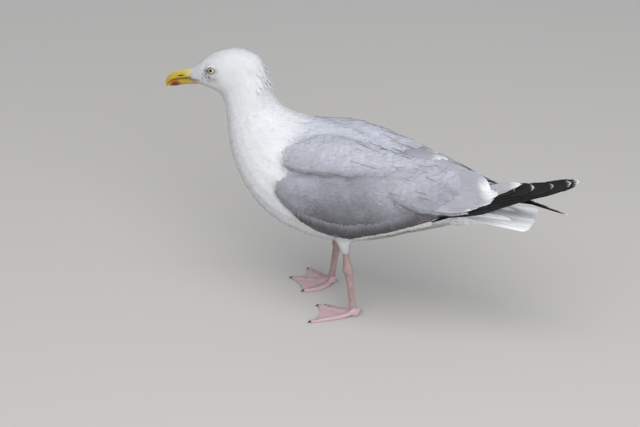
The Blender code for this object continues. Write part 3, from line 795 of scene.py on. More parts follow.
def feather_kind(name, **form):
    """A collection of variants, kept out of the scene."""
    kind = bpy.data.collections.new(name)
    for k in range(VARIANTS):
        shape = feather_shape(f"{name}_{k}", seed=100 + k, **form)
        bpy.context.scene.collection.objects.unlink(shape)
        kind.objects.link(shape)
    return kind


KINDS = {
    "down": feather_kind("down", width=0.42, strips=3, rows=1, fringe=0.55, roundness=0.25),
    "small": feather_kind("small", width=0.34, strips=4, rows=2, fringe=0.50, roundness=0.30),
    "body": feather_kind("body", width=0.34, strips=5, rows=3, fringe=0.42, roundness=0.34),
    "covert": feather_kind("covert", width=0.46, strips=6, rows=4, fringe=0.26, roundness=0.42),
}

# %% [markdown]
# One Geometry Nodes tree grows every part of the coat. It keeps the skin faces of one tract, scatters roots
# over them a set distance apart, turns each feather's face out from the skin and its tip along the lie, and
# scales it to the local length. Once the copies are mesh, each point is drawn down over the skin, to a height
# that rises from the root to the tip: feathers hug the body, and each overlaps the next. `Hug` says how far.
# The map `OFBake` gives each feather a patch three thousandths across, at its root's place on the skin's
# unwrap, for the texture bake.

# %% The tree that grows the coat
PATCH = 0.003  # a feather's width on the OFBake map
CAMBER = 0.018  # how far a feather's middle stands over its sides, as a share of its length


def coat_tree():
    tree = bpy.data.node_groups.new("grow coat", "GeometryNodeTree")
    sockets = {}
    for label, kind in (
        ("Geometry", "Geometry"),
        ("Tract", "Int"),
        ("Spacing", "Float"),
        ("Seed", "Int"),
        ("Feathers", "Collection"),
        ("Lift", "Float"),
        ("Wander", "Float"),
        ("Length", "Float"),
        ("Hug", "Float"),
        ("Finish", "Material"),
    ):
        made = tree.interface.new_socket(label, in_out="INPUT", socket_type=f"NodeSocket{kind}")
        sockets[label] = made.identifier
    tree.interface.new_socket("Geometry", in_out="OUTPUT", socket_type="NodeSocketGeometry")
    given = tree.nodes.new("NodeGroupInput").outputs

    def named(label, kind="FLOAT"):
        return add(tree, "GeometryNodeInputNamedAttribute", {"Name": label}, data_type=kind).outputs[0]

    def maths(operation, a, b):
        return add(tree, "ShaderNodeMath", {0: a, 1: b}, operation=operation).outputs[0]

    def vary(low, high, salt):
        values = {2: low, 3: high, "Seed": maths("ADD", given["Seed"], salt)}
        return add(tree, "FunctionNodeRandomValue", values, data_type="FLOAT").outputs[1]

    def vectors(operation, a, b, label=1):
        return add(tree, "ShaderNodeVectorMath", {0: a, label: b}, operation=operation).outputs[0]

    def store_on(geometry, label, value, kind="FLOAT", domain="POINT"):
        values = {"Geometry": geometry, "Name": label, "Value": value}
        kept = add(tree, "GeometryNodeStoreNamedAttribute", values, data_type=kind, domain=domain)
        return kept.outputs[0]

    tracts = {2: named("tract", "INT"), 3: given["Tract"]}
    here = add(tree, "FunctionNodeCompare", tracts, data_type="INT", operation="EQUAL")
    chosen = {"Geometry": given["Geometry"], "Selection": here.outputs[0]}
    patch = add(tree, "GeometryNodeSeparateGeometry", chosen, domain="FACE")
    crowd = maths("DIVIDE", 2.0, maths("MULTIPLY", given["Spacing"], given["Spacing"]))
    roots = {
        "Mesh": patch.outputs["Selection"],
        "Distance Min": given["Spacing"],
        "Density Max": crowd,
        "Seed": given["Seed"],
    }
    scatter = add(tree, "GeometryNodeDistributePointsOnFaces", roots, distribute_method="POISSON")
    size = maths("MULTIPLY", maths("MULTIPLY", named("reach"), given["Length"]), vary(0.85, 1.15, 4))
    flow = scatter.outputs["Points"]
    for label, kind, value in (
        ("root_normal", "FLOAT_VECTOR", scatter.outputs["Normal"]),
        ("size", "FLOAT", size),
        ("raise", "FLOAT", vary(0.6, 1.4, 1)),
        ("lot", "FLOAT", vary(0.0, 1.0, 5)),
    ):
        flow = store_on(flow, label, value, kind)
    axes = {"Primary Axis": named("root_normal", "FLOAT_VECTOR"), "Secondary Axis": named("lie", "FLOAT_VECTOR")}
    facing = add(tree, "FunctionNodeAxesToRotation", axes, primary_axis="Z", secondary_axis="Y")
    yaw = maths("MULTIPLY", given["Wander"], vary(-1.0, 1.0, 2))
    angles = add(tree, "ShaderNodeCombineXYZ", {"Z": yaw}).outputs[0]
    turn = add(tree, "FunctionNodeEulerToRotation", {0: angles})
    both = {"Rotation": facing.outputs[0], "Rotate By": turn.outputs[0]}
    turned = add(tree, "FunctionNodeRotateRotation", both, rotation_space="LOCAL")
    parts = {0: given["Feathers"], "Separate Children": True, "Reset Children": True}
    choice = add(tree, "GeometryNodeCollectionInfo", parts)
    pick = add(tree, "FunctionNodeRandomValue", {4: 0, 5: VARIANTS - 1, "Seed": 7}, data_type="INT").outputs[2]
    copies = {
        "Points": flow,
        "Instance": choice.outputs[0],
        "Pick Instance": True,
        "Instance Index": pick,
        "Rotation": turned.outputs[0],
        "Scale": named("size"),
    }
    laid = add(tree, "GeometryNodeInstanceOnPoints", copies)
    real = add(tree, "GeometryNodeRealizeInstances", {"Geometry": laid.outputs[0]}).outputs[0]

    # Draw each point down over the skin. The height grows towards the tip, and the middle stands over the sides.
    vane = named("Vane", "FLOAT_VECTOR")
    across, along, _ = add(tree, "ShaderNodeSeparateXYZ", {0: vane}).outputs
    off = maths("MULTIPLY", maths("SUBTRACT", across, 0.5), 2.0)
    arch = maths("MULTIPLY", maths("SUBTRACT", 1.0, maths("MULTIPLY", off, off)), CAMBER)
    rise = maths("MULTIPLY", maths("MULTIPLY", along, given["Lift"]), named("raise"))
    height = maths("MULTIPLY", maths("ADD", arch, rise), named("size"))
    under = add(tree, "GeometryNodeProximity", {0: given["Geometry"]}, target_element="FACES").outputs[0]
    sample = {"Mesh": given["Geometry"], "Value": named("flow", "FLOAT_VECTOR")}
    nearest = add(tree, "GeometryNodeSampleNearestSurface", sample, data_type="FLOAT_VECTOR").outputs[0]
    real = store_on(real, "flow_normal", nearest, "FLOAT_VECTOR")
    outward = named("flow_normal", "FLOAT_VECTOR")
    hugging = vectors("ADD", under, vectors("SCALE", outward, height, "Scale"))
    here_now = add(tree, "GeometryNodeInputPosition").outputs[0]
    lifted = vectors("ADD", here_now, vectors("SCALE", outward, height, "Scale"))
    blend = add(tree, "ShaderNodeMix", {0: given["Hug"], 4: lifted, 5: hugging}, data_type="VECTOR")
    bent = add(tree, "GeometryNodeSetPosition", {"Geometry": real, "Position": blend.outputs[1]})

    inset = vectors("SCALE", vectors("SUBTRACT", vane, (0.5, 0.5, 0.0)), PATCH, "Scale")
    place = vectors("ADD", named("SkinMap", "FLOAT_VECTOR"), inset)
    mapped = store_on(bent.outputs[0], "OFBake", place, "FLOAT2", "CORNER")
    done = add(tree, "GeometryNodeSetMaterial", {"Geometry": mapped, "Material": given["Finish"]})
    tree.links.new(done.outputs[0], tree.nodes.new("NodeGroupOutput").inputs[0])
    return tree, sockets


COAT_TREE, COAT_SOCKETS = coat_tree()
print("Coat tree:", len(COAT_TREE.nodes), "nodes")

# %% [markdown]
# Real plumage scatters light so softly that the edge of one small feather hardly shows. Faces alone would look
# like armour. So the shading normal of each feather is blended with that of the skin beneath it: the shapes
# stay, and the light flows over them as over one soft body.

# %% Grow one part of the coat
CARRIED = ("lie", "reach", "tract", "root_normal", "size", "raise", "flow", "flow_normal", "SkinMap")


def soften_normals(mesh, towards, share):
    own = coords(mesh, "normal")
    own *= np.sign((own * towards).sum(1, keepdims=True) + 1e-9)
    blend = unit(own * (1 - share) + towards * share)
    mesh.normals_split_custom_set_from_vertices(blend.astype(np.float32))


def grow_coat(name, area, kind, spacing, lift, wander, length, softness, hug, seed):
    piece = new_piece(f"coat_{name}", skin.data.copy())
    modifier = piece.modifiers.new("coat", "NODES")
    modifier.node_group = COAT_TREE
    for label, value in (
        ("Tract", TRACTS[area]),
        ("Spacing", spacing * MM),
        ("Seed", seed),
        ("Feathers", KINDS[kind]),
        ("Lift", lift),
        ("Wander", wander),
        ("Length", length),
        ("Hug", hug),
        ("Finish", COAT_PLUMAGE),
    ):
        modifier[COAT_SOCKETS[label]] = value
    settle(piece)
    flow_normal = vectors_of(piece.data.attributes["flow_normal"].data, "vector")
    soften_normals(piece.data, flow_normal, softness)
    for label in CARRIED:
        if label in piece.data.attributes:
            piece.data.attributes.remove(piece.data.attributes[label])
    print(f"{piece.name}: {triangles(piece)} triangles")
    return piece


# %% [markdown]
# Plumage is keratin: matt, with a soft bloom where light grazes it. Its colour comes from the markings that
# each feather took from the skin. White and grey are mixed by `marks`, with a little chance for each feather at
# the border, so that single feathers cross it. Barbs run slantwise from the shaft; they are drawn half a
# millimetre to a millimetre apart, coarser than real ones, so that they show.

# %% Plumage


def blend_colours(tree, share, a, b):
    return add(tree, "ShaderNodeMix", {0: share, 6: a, 7: b}, data_type="RGBA").outputs[2]


def from_to(tree, value, low, high, to_low=0.0, to_high=1.0):
    made = add(
        tree,
        "ShaderNodeMapRange",
        {"Value": value, "From Min": low, "From Max": high, "To Min": to_low, "To Max": to_high},
        interpolation_type="SMOOTHSTEP",
    )
    return made.outputs[0]


def calc(tree, operation, a, b=0.0):
    return add(tree, "ShaderNodeMath", {0: a, 1: b}, operation=operation).outputs[0]


def tinted(tree, colour, hex_colour, share, most=None):
    """A colour laid over another where `share` says, at most as strongly as `most`."""
    share = calc(tree, "MULTIPLY", share, most) if most else share
    return blend_colours(tree, share, colour, linear(hex_colour))


def plumage(name, is_coat):
    made, tree = new_finish(name)
    marks = add(tree, "ShaderNodeAttribute", attribute_name="marks")
    shade = add(tree, "ShaderNodeAttribute", attribute_name="tone").outputs["Fac"]
    split = add(tree, "ShaderNodeSeparateXYZ", {0: marks.outputs["Vector"]})
    grey_mark, brown_mark, dusk_mark = split.outputs
    place = add(tree, "ShaderNodeTexCoord").outputs["Object"]
    if is_coat:
        lot = add(tree, "ShaderNodeAttribute", attribute_name="lot").outputs["Fac"]
        grey_mark = calc(tree, "ADD", grey_mark, calc(tree, "MULTIPLY", calc(tree, "SUBTRACT", lot, 0.5), 0.22))
    grey_share = from_to(tree, grey_mark, 0.05, 0.95)
    colour = blend_colours(tree, grey_share, linear("#eaebed"), linear("#c4c6d1"))
    cloud = add(tree, "ShaderNodeTexNoise", {"Vector": place, "Scale": 1 / 0.014, "Detail": 3.0})
    warm = calc(tree, "MULTIPLY", grey_share, from_to(tree, cloud.outputs["Fac"], 0.5, 0.72, 0, 0.30))
    colour = tinted(tree, colour, "#cac2bd", warm)
    colour = tinted(tree, colour, "#848085", brown_mark)
    colour = tinted(tree, colour, "#655b54", dusk_mark)
    if is_coat:
        vane = add(tree, "ShaderNodeUVMap", uv_map="Vane").outputs[0]
        across, along, _ = add(tree, "ShaderNodeSeparateXYZ", {0: vane}).outputs
        side = calc(tree, "ABSOLUTE", calc(tree, "SUBTRACT", across, 0.5))
        slant = calc(tree, "ADD", calc(tree, "MULTIPLY", along, 34), calc(tree, "MULTIPLY", side, 30))
        barbs = calc(tree, "SINE", calc(tree, "MULTIPLY", slant, math.tau / 2))
        # A few grey feathers have a pale worn edge down one side
        worn = calc(tree, "MULTIPLY", calc(tree, "GREATER_THAN", lot, 0.96), from_to(tree, across, 0.34, 0.10))
        worn = calc(tree, "MULTIPLY", calc(tree, "MULTIPLY", worn, grey_share), 0.5)
        colour = tinted(tree, colour, "#ddd3c9", worn)
        shade = calc(tree, "MULTIPLY", shade, from_to(tree, along, 0.15, 0.75, 0.93, 1.0))  # painted shade at its root, where the next feathers cover it
        shade = calc(tree, "MULTIPLY", shade, from_to(tree, barbs, -1, 1, 0.975, 1.01))
        spread = from_to(tree, grey_share, 0, 1, 0.022, 0.085)
        each = calc(tree, "ADD", 0.995, calc(tree, "MULTIPLY", calc(tree, "SUBTRACT", lot, 0.5), spread))
        shade = calc(tree, "MULTIPLY", shade, each)
    shaded = add(tree, "ShaderNodeVectorMath", {0: colour, "Scale": shade}, operation="SCALE").outputs[0]
    bloom = {"Sheen Weight": 0.12, "Sheen Roughness": 0.5}
    set_surface(tree, shaded, {"Roughness": 0.82, "Specular IOR Level": 0.22, **bloom})
    return made


SKIN_PLUMAGE = plumage("down under the coat", is_coat=False)
COAT_PLUMAGE = plumage("contour feathers", is_coat=True)
skin.data.materials.clear()
skin.data.materials.append(SKIN_PLUMAGE)

# %% Grow the whole coat
COAT = (  # name, tract, kind of feather, spacing in mm, lift, wander, length, softness, hug, seed
    ("face", "face", "down", 0.85, 0.09, 0.25, 1.0, 0.90, 0.85, 11),
    ("crown", "crown", "small", 1.25, 0.07, 0.20, 1.0, 0.90, 0.85, 12),
    ("nape", "nape", "small", 1.4, 0.08, 0.20, 1.0, 0.88, 0.85, 20),
    ("crest", "nape", "small", 4.6, 0.34, 0.30, 1.4, 0.90, 0.40, 21),
    ("neck", "neck", "body", 2.0, 0.05, 0.16, 1.0, 0.94, 0.92, 13),
    ("breast", "breast", "body", 2.7, 0.045, 0.12, 1.0, 0.94, 0.92, 14),
    ("belly", "belly", "body", 3.0, 0.045, 0.12, 1.0, 0.92, 0.92, 15),
    ("mantle", "mantle", "covert", 3.2, 0.05, 0.10, 1.0, 0.85, 0.85, 16),
    ("scapulars", "scapulars", "covert", 3.4, 0.055, 0.10, 1.0, 0.85, 0.85, 17),
    ("coverts", "coverts", "covert", 3.0, 0.06, 0.13, 1.0, 0.85, 0.85, 18),
    ("tertials", "tertials", "covert", 4.0, 0.04, 0.09, 1.0, 0.90, 0.92, 19),
)
coat = [grow_coat(*row) for row in COAT]
print("Coat:", sum(triangles(piece) for piece in coat), "triangles in all")

# %% [markdown]
# The flight feathers are large, so each is modelled on its own: a thin closed plate with a raised shaft, vanes
# that droop a little to both sides, and edges notched where barbs have parted. `Vanes.lay` takes the feather's
# middle line, and at each point of it the direction across, the direction out and the half width. Every vane
# has its own cell on the OFBake map, its upper face in one half of the cell and its lower face in the other.

# %% One flight feather
VANE_STRIPS = 10
VANE_THICKNESS = 0.45 * MM
SHAFT_HEIGHT = 0.35 * MM
MAP_COLUMNS = 12  # cells across the OFBake map of a group of vanes
ALL_DARK = 2.0  # where the white begins on a feather without any: beyond its tip


class Vanes:
    """A group of flight feathers that becomes one piece."""

    def __init__(self, name, seed):
        self.name, self.bm, self.count = name, bmesh.new(), 0
        self.rng = np.random.default_rng(seed)
        self.vane_map = self.bm.loops.layers.uv.new("Vane")
        self.bake_map = self.bm.loops.layers.uv.new("OFBake")
        self.white = self.bm.verts.layers.float.new("white_from")
        self.lot = self.bm.verts.layers.float.new("lot")
        self.fade = self.bm.verts.layers.float.new("fade")

    def margin(self, rows, depth):
        """Half widths' shares down one edge: slightly wavy, with a few notches."""
        edge = 1 - depth * self.rng.random(rows)
        for at in self.rng.integers(2, rows, 3):
            edge[at] -= 2.2 * depth * self.rng.random()
        return edge

    def lay(self, path, across, outward, half, white_from=ALL_DARK, ragged=0.05, droop=0.10, comb=0.0, fade=0.0):
        rows = len(path)
        shares = np.linspace(0, 1, rows)
        edges = {-1: self.margin(rows, ragged), 1: self.margin(rows, ragged)}
        lot = self.rng.random()
        teeth = self.rng.random(VANE_STRIPS + 1)
        grids, place = [], {}
        for half_cell, face in enumerate((1, -1)):
            grid = []
            for i in range(rows):
                row = []
                for j, u in enumerate(np.linspace(-1, 1, VANE_STRIPS + 1)):
                    reach = half[i] * abs(u) * (edges[1 if u > 0 else -1][i] if abs(u) > 0.99 else 1)
                    shaft = SHAFT_HEIGHT * max(0, 1 - 5 * abs(u)) * (1 - 0.7 * shares[i])
                    lift = face * VANE_THICKNESS / 2 + (shaft if face > 0 else 0) - droop * half[i] * u * u
                    late = max(0.0, (shares[i] - 0.8) / 0.2)
                    back = (path[i - 1] - path[i]) * rows * comb * late * teeth[j]
                    spot = path[i] + across[i] * math.copysign(reach, u) + outward[i] * lift + back
                    vert = self.bm.verts.new(spot)
                    vert[self.white], vert[self.lot], vert[self.fade] = white_from, lot, fade
                    place[vert] = (j / VANE_STRIPS, shares[i], half_cell)
                    row.append(vert)
                grid.append(row)
            grids.append(grid)
        top, bottom = grids
        quads = []
        for i in range(rows - 1):
            for j in range(VANE_STRIPS):
                quads.append((top[i][j], top[i][j + 1], top[i + 1][j + 1], top[i + 1][j]))
                quads.append((bottom[i][j], bottom[i + 1][j], bottom[i + 1][j + 1], bottom[i][j + 1]))
        rim = [(i, 0) for i in range(rows - 1, 0, -1)] + [(0, j) for j in range(VANE_STRIPS)]
        rim += [(i, VANE_STRIPS) for i in range(rows - 1)] + [(rows - 1, j) for j in range(VANE_STRIPS, 0, -1)]
        for (i, j), (k, m) in zip(rim, rim[1:] + rim[:1]):
            quads.append((top[i][j], bottom[i][j], bottom[k][m], top[k][m]))
        column, line = self.count % MAP_COLUMNS, self.count // MAP_COLUMNS
        for quad in quads:
            made = self.bm.faces.new(quad)
            made.smooth = True
            for loop in made.loops:
                u, t, half_cell = place[loop.vert]
                loop[self.vane_map].uv = (u, t)
                left = (column + 0.04 + 0.48 * half_cell + 0.42 * u) / MAP_COLUMNS
                loop[self.bake_map].uv = (left, (line + 0.04 + 0.92 * t) / MAP_COLUMNS)
        self.count += 1

    def finish(self, material):
        bmesh.ops.recalc_face_normals(self.bm, faces=self.bm.faces[:])
        piece = new_piece(self.name, self.bm)
        piece.data.materials.append(material)
        print(f"{self.name}: {self.count} feathers, {triangles(piece)} triangles")
        return piece


def rounded_tip(rows, half, tip_share, root=0.45, blunt=2.0):
    """Half widths along a feather: narrow at the root, even, then round over the last `tip_share`."""
    t = np.linspace(0, 1, rows)
    late = np.clip((t - (1 - tip_share)) / tip_share, 0, 1)
    width = root + (1 - root) * ramp(t, 0, 0.35)
    return half * width * np.maximum(1 - late**blunt, 0.0025) ** (1 / blunt)


# %% [markdown]
# Feathers that lie on the body are draped: each starts at its root on the skin and goes on in small steps, and
# each step is brought back to the surface.

# %% Draping over the skin


def relaxed_line(path, passes):
    """Points of a line, each moved half way to its neighbours' mean, again and again."""
    path = np.array(path)
    for _ in range(passes):
        path[1:-1] = path[1:-1] * 0.5 + (path[2:] + path[:-2]) * 0.25
    return path


skin_bm = bmesh.new()
skin_bm.from_mesh(skin.data)
SKIN_TREE = tree_of(skin_bm)


def draped(root, ahead, length, rows, height):
    """A path over the skin with its directions across and out. `height` is a function of the share along."""
    spot, ahead = Vector(root), Vector(ahead).normalized()
    path, outs = [], []
    out = SKIN_TREE.find_nearest(spot)[1]
    for k in range(rows):
        found, facing, _, _ = SKIN_TREE.find_nearest(spot)
        out = out.lerp(facing, 0.35).normalized()
        ahead = (ahead - out * ahead.dot(out)).normalized()
        path.append(found + out * height(k / (rows - 1)))
        outs.append(out.copy())
        spot = found + ahead * (length / (rows - 1))
    path, outs = relaxed_line(path, 1), np.array(outs)
    return path, unit(np.cross(np.gradient(path, axis=0), outs)), outs


def wing_side(side, y, z):
    """The outer face of the skin at a height, straight out from the middle of the bird."""
    away = Vector((side * 0.2 + MIDDLE_X * MM, y, z))
    return SKIN_TREE.ray_cast(away, Vector((-side, 0, 0)))[0]


print("Surface to drape on:", len(skin.data.polygons), "faces")

# %% [markdown]
# A wing's blade in the frame is a leaning lens. Cut across at any y, it gives the lower and upper edges of the
# fan of feathers and its outer face. The feathers share that fan out between them: each keeps its own place
# between the two edges, and the ones nearer the back lie on top.

# %% Sections through a blade


class Blade:
    def __init__(self, node, side, lean):
        mesh = frame["nodes"][node].data
        self.points = coords(mesh)
        self.ends = edge_ends(mesh)
        lean = math.radians(lean)
        self.across = np.array((-side * math.sin(lean), 0, math.cos(lean)))
        self.out = np.array((side * math.cos(lean), 0, math.sin(lean)))
        self.front, self.back = self.points[:, 1].min(), self.points[:, 1].max()
        self.side = side

    def section(self, y):
        """(lower edge, upper edge, inner face, outer face) at y, along `across` and `out`."""
        y = min(max(y, self.front + MM), self.back - 0.5 * MM)
        a, b = self.points[self.ends[:, 0]], self.points[self.ends[:, 1]]
        cut = (a[:, 1] - y) * (b[:, 1] - y) < 0
        a, b = a[cut], b[cut]
        spots = a + (b - a) * ((y - a[:, 1]) / (b[:, 1] - a[:, 1]))[:, None]
        along, off = spots @ self.across, spots @ self.out
        return along.min(), along.max(), off.min(), off.max()

    def spot(self, y, along, off):
        return self.across * along + self.out * off + np.array((0, y, 0))


def turned_frames(path, outward):
    """A feather's middle line with its directions across and out at each point. Its face is turned `outward`."""
    path = np.array(path)
    ahead = unit(np.gradient(path, axis=0))
    across = unit(np.cross(ahead, outward))
    return path, across, np.cross(across, ahead)


# %% [markdown]
# The primaries are the long black feathers of the wing tip. Closed, each shows only a strip beside the next, so
# a feather's place in the fan is one number, its share of the way from the lower edge to the upper one. The
# closed fan's leading edge runs on forward along the foot of the wing; one narrow dark vane stands for it.

# %% Primaries
VANE_ROWS = 34  # points along a long feather
PRIMARY_LEAN, PRIMARY_HALF_WIDTH = 60, 10.5 * MM
PRIMARY_ROOT = 0.138  # y where they start
PRIMARY_TIPS = (0.192, 0.216, 0.240, 0.264, 0.2855, 0.2950)  # y of the tips, innermost first
PRIMARY_WHITE = (0, 0.8 * MM, 2.0 * MM, 1.2 * MM, 2.4 * MM, 4.0 * MM)  # lengths of their worn white tips
LEADING_START, LEADING_END = 0.088, 0.240  # y

# The fans are straighter than their solids: higher along the middle, but not at the tip, in millimetres
PRIMARY_RISE = {LEFT: (0.0, 8.0, 8.0, 0.8), RIGHT: (0.0, 0.5, 7.0, 0.8)}
PRIMARY_RISE_AT = (0.140, 0.205, 0.240, 0.298)  # y


def primary_spot(blade, y, share):
    """A place in the fan: `share` is 0 at its lower edge and 1 at its upper one."""
    low, high, inner, outer = blade.section(y)
    half = min(PRIMARY_HALF_WIDTH, 0.48 * (high - low))
    along = low + half + (high - low - 2 * half) * share
    rise = MM * float(np.interp(y, PRIMARY_RISE_AT, PRIMARY_RISE[blade.side]))
    spot = blade.spot(y, along, inner + (outer - inner) * (0.12 + 0.72 * share))
    return spot + np.array((0, 0, rise * (0.75 + 0.45 * share)))


def lay_primaries(word):
    side = SIDES[word]
    blade = Blade(f"primaries_{word}", side, PRIMARY_LEAN)
    vanes = Vanes(f"wing_tip_{word}", seed=200 + side)
    for rank, tip in enumerate(PRIMARY_TIPS):
        share = 1 - rank / (len(PRIMARY_TIPS) - 1)
        tip = min(tip, blade.back - 0.5 * MM)
        path = [primary_spot(blade, y, share) for y in np.linspace(PRIMARY_ROOT, tip, VANE_ROWS)]
        path, across, out = turned_frames(path, blade.out)
        half = rounded_tip(len(path), PRIMARY_HALF_WIDTH, 0.20, root=0.75, blunt=2.1)
        white = 1 - PRIMARY_WHITE[rank] / (tip - PRIMARY_ROOT) if PRIMARY_WHITE[rank] else ALL_DARK
        vanes.lay(path, across, out, half, white, ragged=0.07, droop=0.05)

    # The leading edge, forward under the secondaries' tips
    path = []
    for y in np.linspace(LEADING_START, LEADING_END, VANE_ROWS):
        foot = wing_side(side, y, float(wing_foot(y)) + 1.0 * MM)
        share = float(ramp(y, 0.110, 0.150))
        fan = primary_spot(blade, max(y, PRIMARY_ROOT), 0) - blade.across * 9 * MM
        on_foot = np.array(foot) + blade.out * 1.0 * MM if foot else fan
        path.append(fan * share + on_foot * (1 - share))
    path, across, out = turned_frames(relaxed_line(path, 4), blade.out)
    half = np.interp(np.linspace(0, 1, len(path)), (0, 0.2, 0.6, 1), (1.2, 2.4, 6.5, 0.6)) * MM
    vanes.lay(path, across, out, half, ragged=0.04, droop=0.05)
    return vanes


# %% [markdown]
# The tertials are the broad grey feathers that close over the back of the folded wing. They have to lie over
# the skin in front and over the closed primaries behind. So two small functions bring a place out of a blade
# until it is clear of the one or of the other. The longest tertials lie on the primaries' upper edge.

# %% Tertials


def over_fan(fan, spot, clear):
    """Moves a place outwards until it is clear of the closed primaries."""
    lowest, highest = (primary_spot(fan, spot[1], share) for share in (0, 1))
    line = highest - lowest
    share = np.clip((spot - lowest) @ line / (line @ line), -1, 2)
    lack = clear - (spot - lowest - share * line) @ fan.out
    return spot + fan.out * max(lack, 0) * float(ramp(spot[1], 0.125, 0.150))


def over_skin(blade, spot, clear):
    """Moves a place in or out of a blade until it lies `clear` of the skin, if there is skin beneath it."""
    found = SKIN_TREE.ray_cast(Vector(spot + blade.out * 30 * MM), Vector(-blade.out), 55 * MM)[0]
    return np.array(found) + blade.out * clear if found else spot


TERTIAL_LEAN, TERTIAL_HALF_WIDTH, TERTIAL_BULGE = 46, 8.5 * MM, 8.5 * MM
TERTIAL_COUNT = 13
TERTIAL_SHARES = (0.0, 0.25, 0.5, 0.75, 1.0)  # 0 is the blade's lower edge, 1 its top
TERTIAL_TIPS = (0.172, 0.189, 0.1975, 0.195, 0.188)  # y of the tips at those shares
TERTIAL_ROOT, TERTIAL_LEAST = 0.104, 26 * MM  # where they start, and the fan's least breadth
LONG_TIPS = ((0.70, 0.211), (0.80, 0.216), (0.90, 0.222), (1.00, 0.226))  # place in the primaries' fan, tip's y
LONG_ROOT, LONG_HALF_WIDTH = 0.125, 6.5 * MM
RIGHT_SHORTER = 11 * MM  # how much shorter the right wing's are; its uppermost are twice that
RIGHT_SUNK = 3.2 * MM  # how much closer to the skin the right wing's uppermost ones lie


def lay_tertials(word):
    side = SIDES[word]
    blade = Blade(f"tertials_{word}", side, TERTIAL_LEAN)
    fan = Blade(f"primaries_{word}", side, PRIMARY_LEAN)
    vanes = Vanes(f"tertial_feathers_{word}", seed=300 + side)
    shorter = RIGHT_SHORTER if side == RIGHT else 0
    for share in np.linspace(0, 1, TERTIAL_COUNT):
        tip = float(np.interp(share, TERTIAL_SHARES, TERTIAL_TIPS)) - shorter * (1 + share**2)
        tip += vanes.rng.uniform(-1.2, 1.2) * MM
        path = []
        for y in np.linspace(TERTIAL_ROOT, tip, 36):
            low, high, _, outer = blade.section(y)
            spare = max(0, TERTIAL_LEAST - (high - low)) / 2
            low, high = low - spare, high + spare
            half = min(TERTIAL_HALF_WIDTH, 0.42 * (high - low))
            along = low + half + (high - low - 2 * half) * share
            fall = 8 * MM * float(ramp(y, 0.155, 0.195)) * min(share / 0.4, 1)
            along += 5 * MM * max(0, 1 - share / 0.3) - fall
            off = (along - (low + high) / 2) / ((high - low) / 2)
            sunk = TERTIAL_BULGE * (1 - math.sqrt(max(0.05, 1 - off * off)))
            clear = (2.1 + 1.0 * share) * MM - 4.5 * MM * (1 - float(ramp(y, tip - 0.066, tip - 0.036)))
            clear -= RIGHT_SUNK * float(ramp(share, 0.5, 1.0)) if side == RIGHT else 0
            spot = over_skin(blade, blade.spot(y, along, outer - sunk), clear)
            path.append(over_fan(fan, spot, clear + 1 * MM))
        path, across, out = turned_frames(relaxed_line(path, 6), blade.out)
        half = rounded_tip(len(path), TERTIAL_HALF_WIDTH, 0.26, root=0.5, blunt=1.7)
        white = 1 - (10 + 4 * share) * MM / (tip - TERTIAL_ROOT)
        vanes.lay(path, across, out, half, white, ragged=0.10, droop=0.08, comb=0.06)

    # The longest ones lie on the upper edge of the closed primaries
    for share, tip in LONG_TIPS:
        path, tip = [], tip - shorter
        for y in np.linspace(LONG_ROOT, tip, VANE_ROWS):
            low, high, _, outer = blade.section(y)
            half = min(TERTIAL_HALF_WIDTH, 0.42 * (high - low))
            upper = blade.spot(y, high - half * (2.6 - share), outer - 0.85 * TERTIAL_BULGE)
            onto = primary_spot(fan, y, share) + fan.out * (1.2 + 0.8 * share) * MM
            across_fan = float(ramp(y, 0.145, 0.178))
            path.append(upper * (1 - across_fan) + onto * across_fan)
        path, across, out = turned_frames(relaxed_line(path, 3), blade.out)
        half = rounded_tip(len(path), LONG_HALF_WIDTH, 0.26, root=0.7, blunt=1.6)
        vanes.lay(path, across, out, half, 1 - 8 * MM / (tip - LONG_ROOT), ragged=0.10, droop=0.08, comb=0.04)
    return vanes


# %% [markdown]
# Along the back, between the two wings, the innermost feathers bridge the gap. Nine of them lie one over the
# other, the lower ones long and plain, the upper three short with a narrow white end.

# %% The ridge between the wings
RIDGE_ROOT, RIDGE_HALF_WIDTH = 0.045, 9.0 * MM
RIDGE_ROWS = (  # y of the tip, millimetres off the middle, and where the white begins
    (0.150, -10, ALL_DARK),
    (0.158, 9, ALL_DARK),
    (0.166, -6, ALL_DARK),
    (0.174, 5, ALL_DARK),
    (0.182, -2, ALL_DARK),
    (0.188, 1, ALL_DARK),
    (0.104, -7, 0.95),
    (0.112, 6, 0.92),
    (0.120, -1, 0.90),
)
RIDGE_SINK = 3.0 * MM  # how far they sink at their roots, and again from the ends of the upper three backwards


def lay_ridge():
    blades = [Blade(f"tertials_{word}", side, TERTIAL_LEAN) for word, side in SIDES.items()]
    vanes = Vanes("ridge_feathers", seed=350)
    for rank, (tip, aside, white) in enumerate(RIDGE_ROWS):
        path = []
        for y in np.linspace(RIDGE_ROOT, tip, VANE_ROWS):
            tops = []
            for blade in blades:
                _, high, _, outer = blade.section(y)
                tops.append(blade.spot(y, high, outer - TERTIAL_BULGE))
            spot = sum(tops) / 2 + np.array((aside * MM, 0, (0.4 + 0.25 * rank - 0.05 * abs(aside)) * MM))
            sunk = RIDGE_SINK * (1 - float(ramp(y, 0.060, 0.100)) + float(ramp(y, 0.108, 0.130)))
            path.append(spot - np.array((0, 0, sunk)))
        path, across, out = turned_frames(path, np.array((aside * 0.05, 0, 1.0)))
        half = rounded_tip(len(path), RIDGE_HALF_WIDTH, 0.16, root=0.7, blunt=1.8)
        vanes.lay(path, across, out, half, white, ragged=0.07, droop=0.30)
    return vanes


# %% [markdown]
# The tail is twelve feathers spread like a hand of cards, the middle pair on top. The outer ones end a little
# further forward, lie lower and sag more.

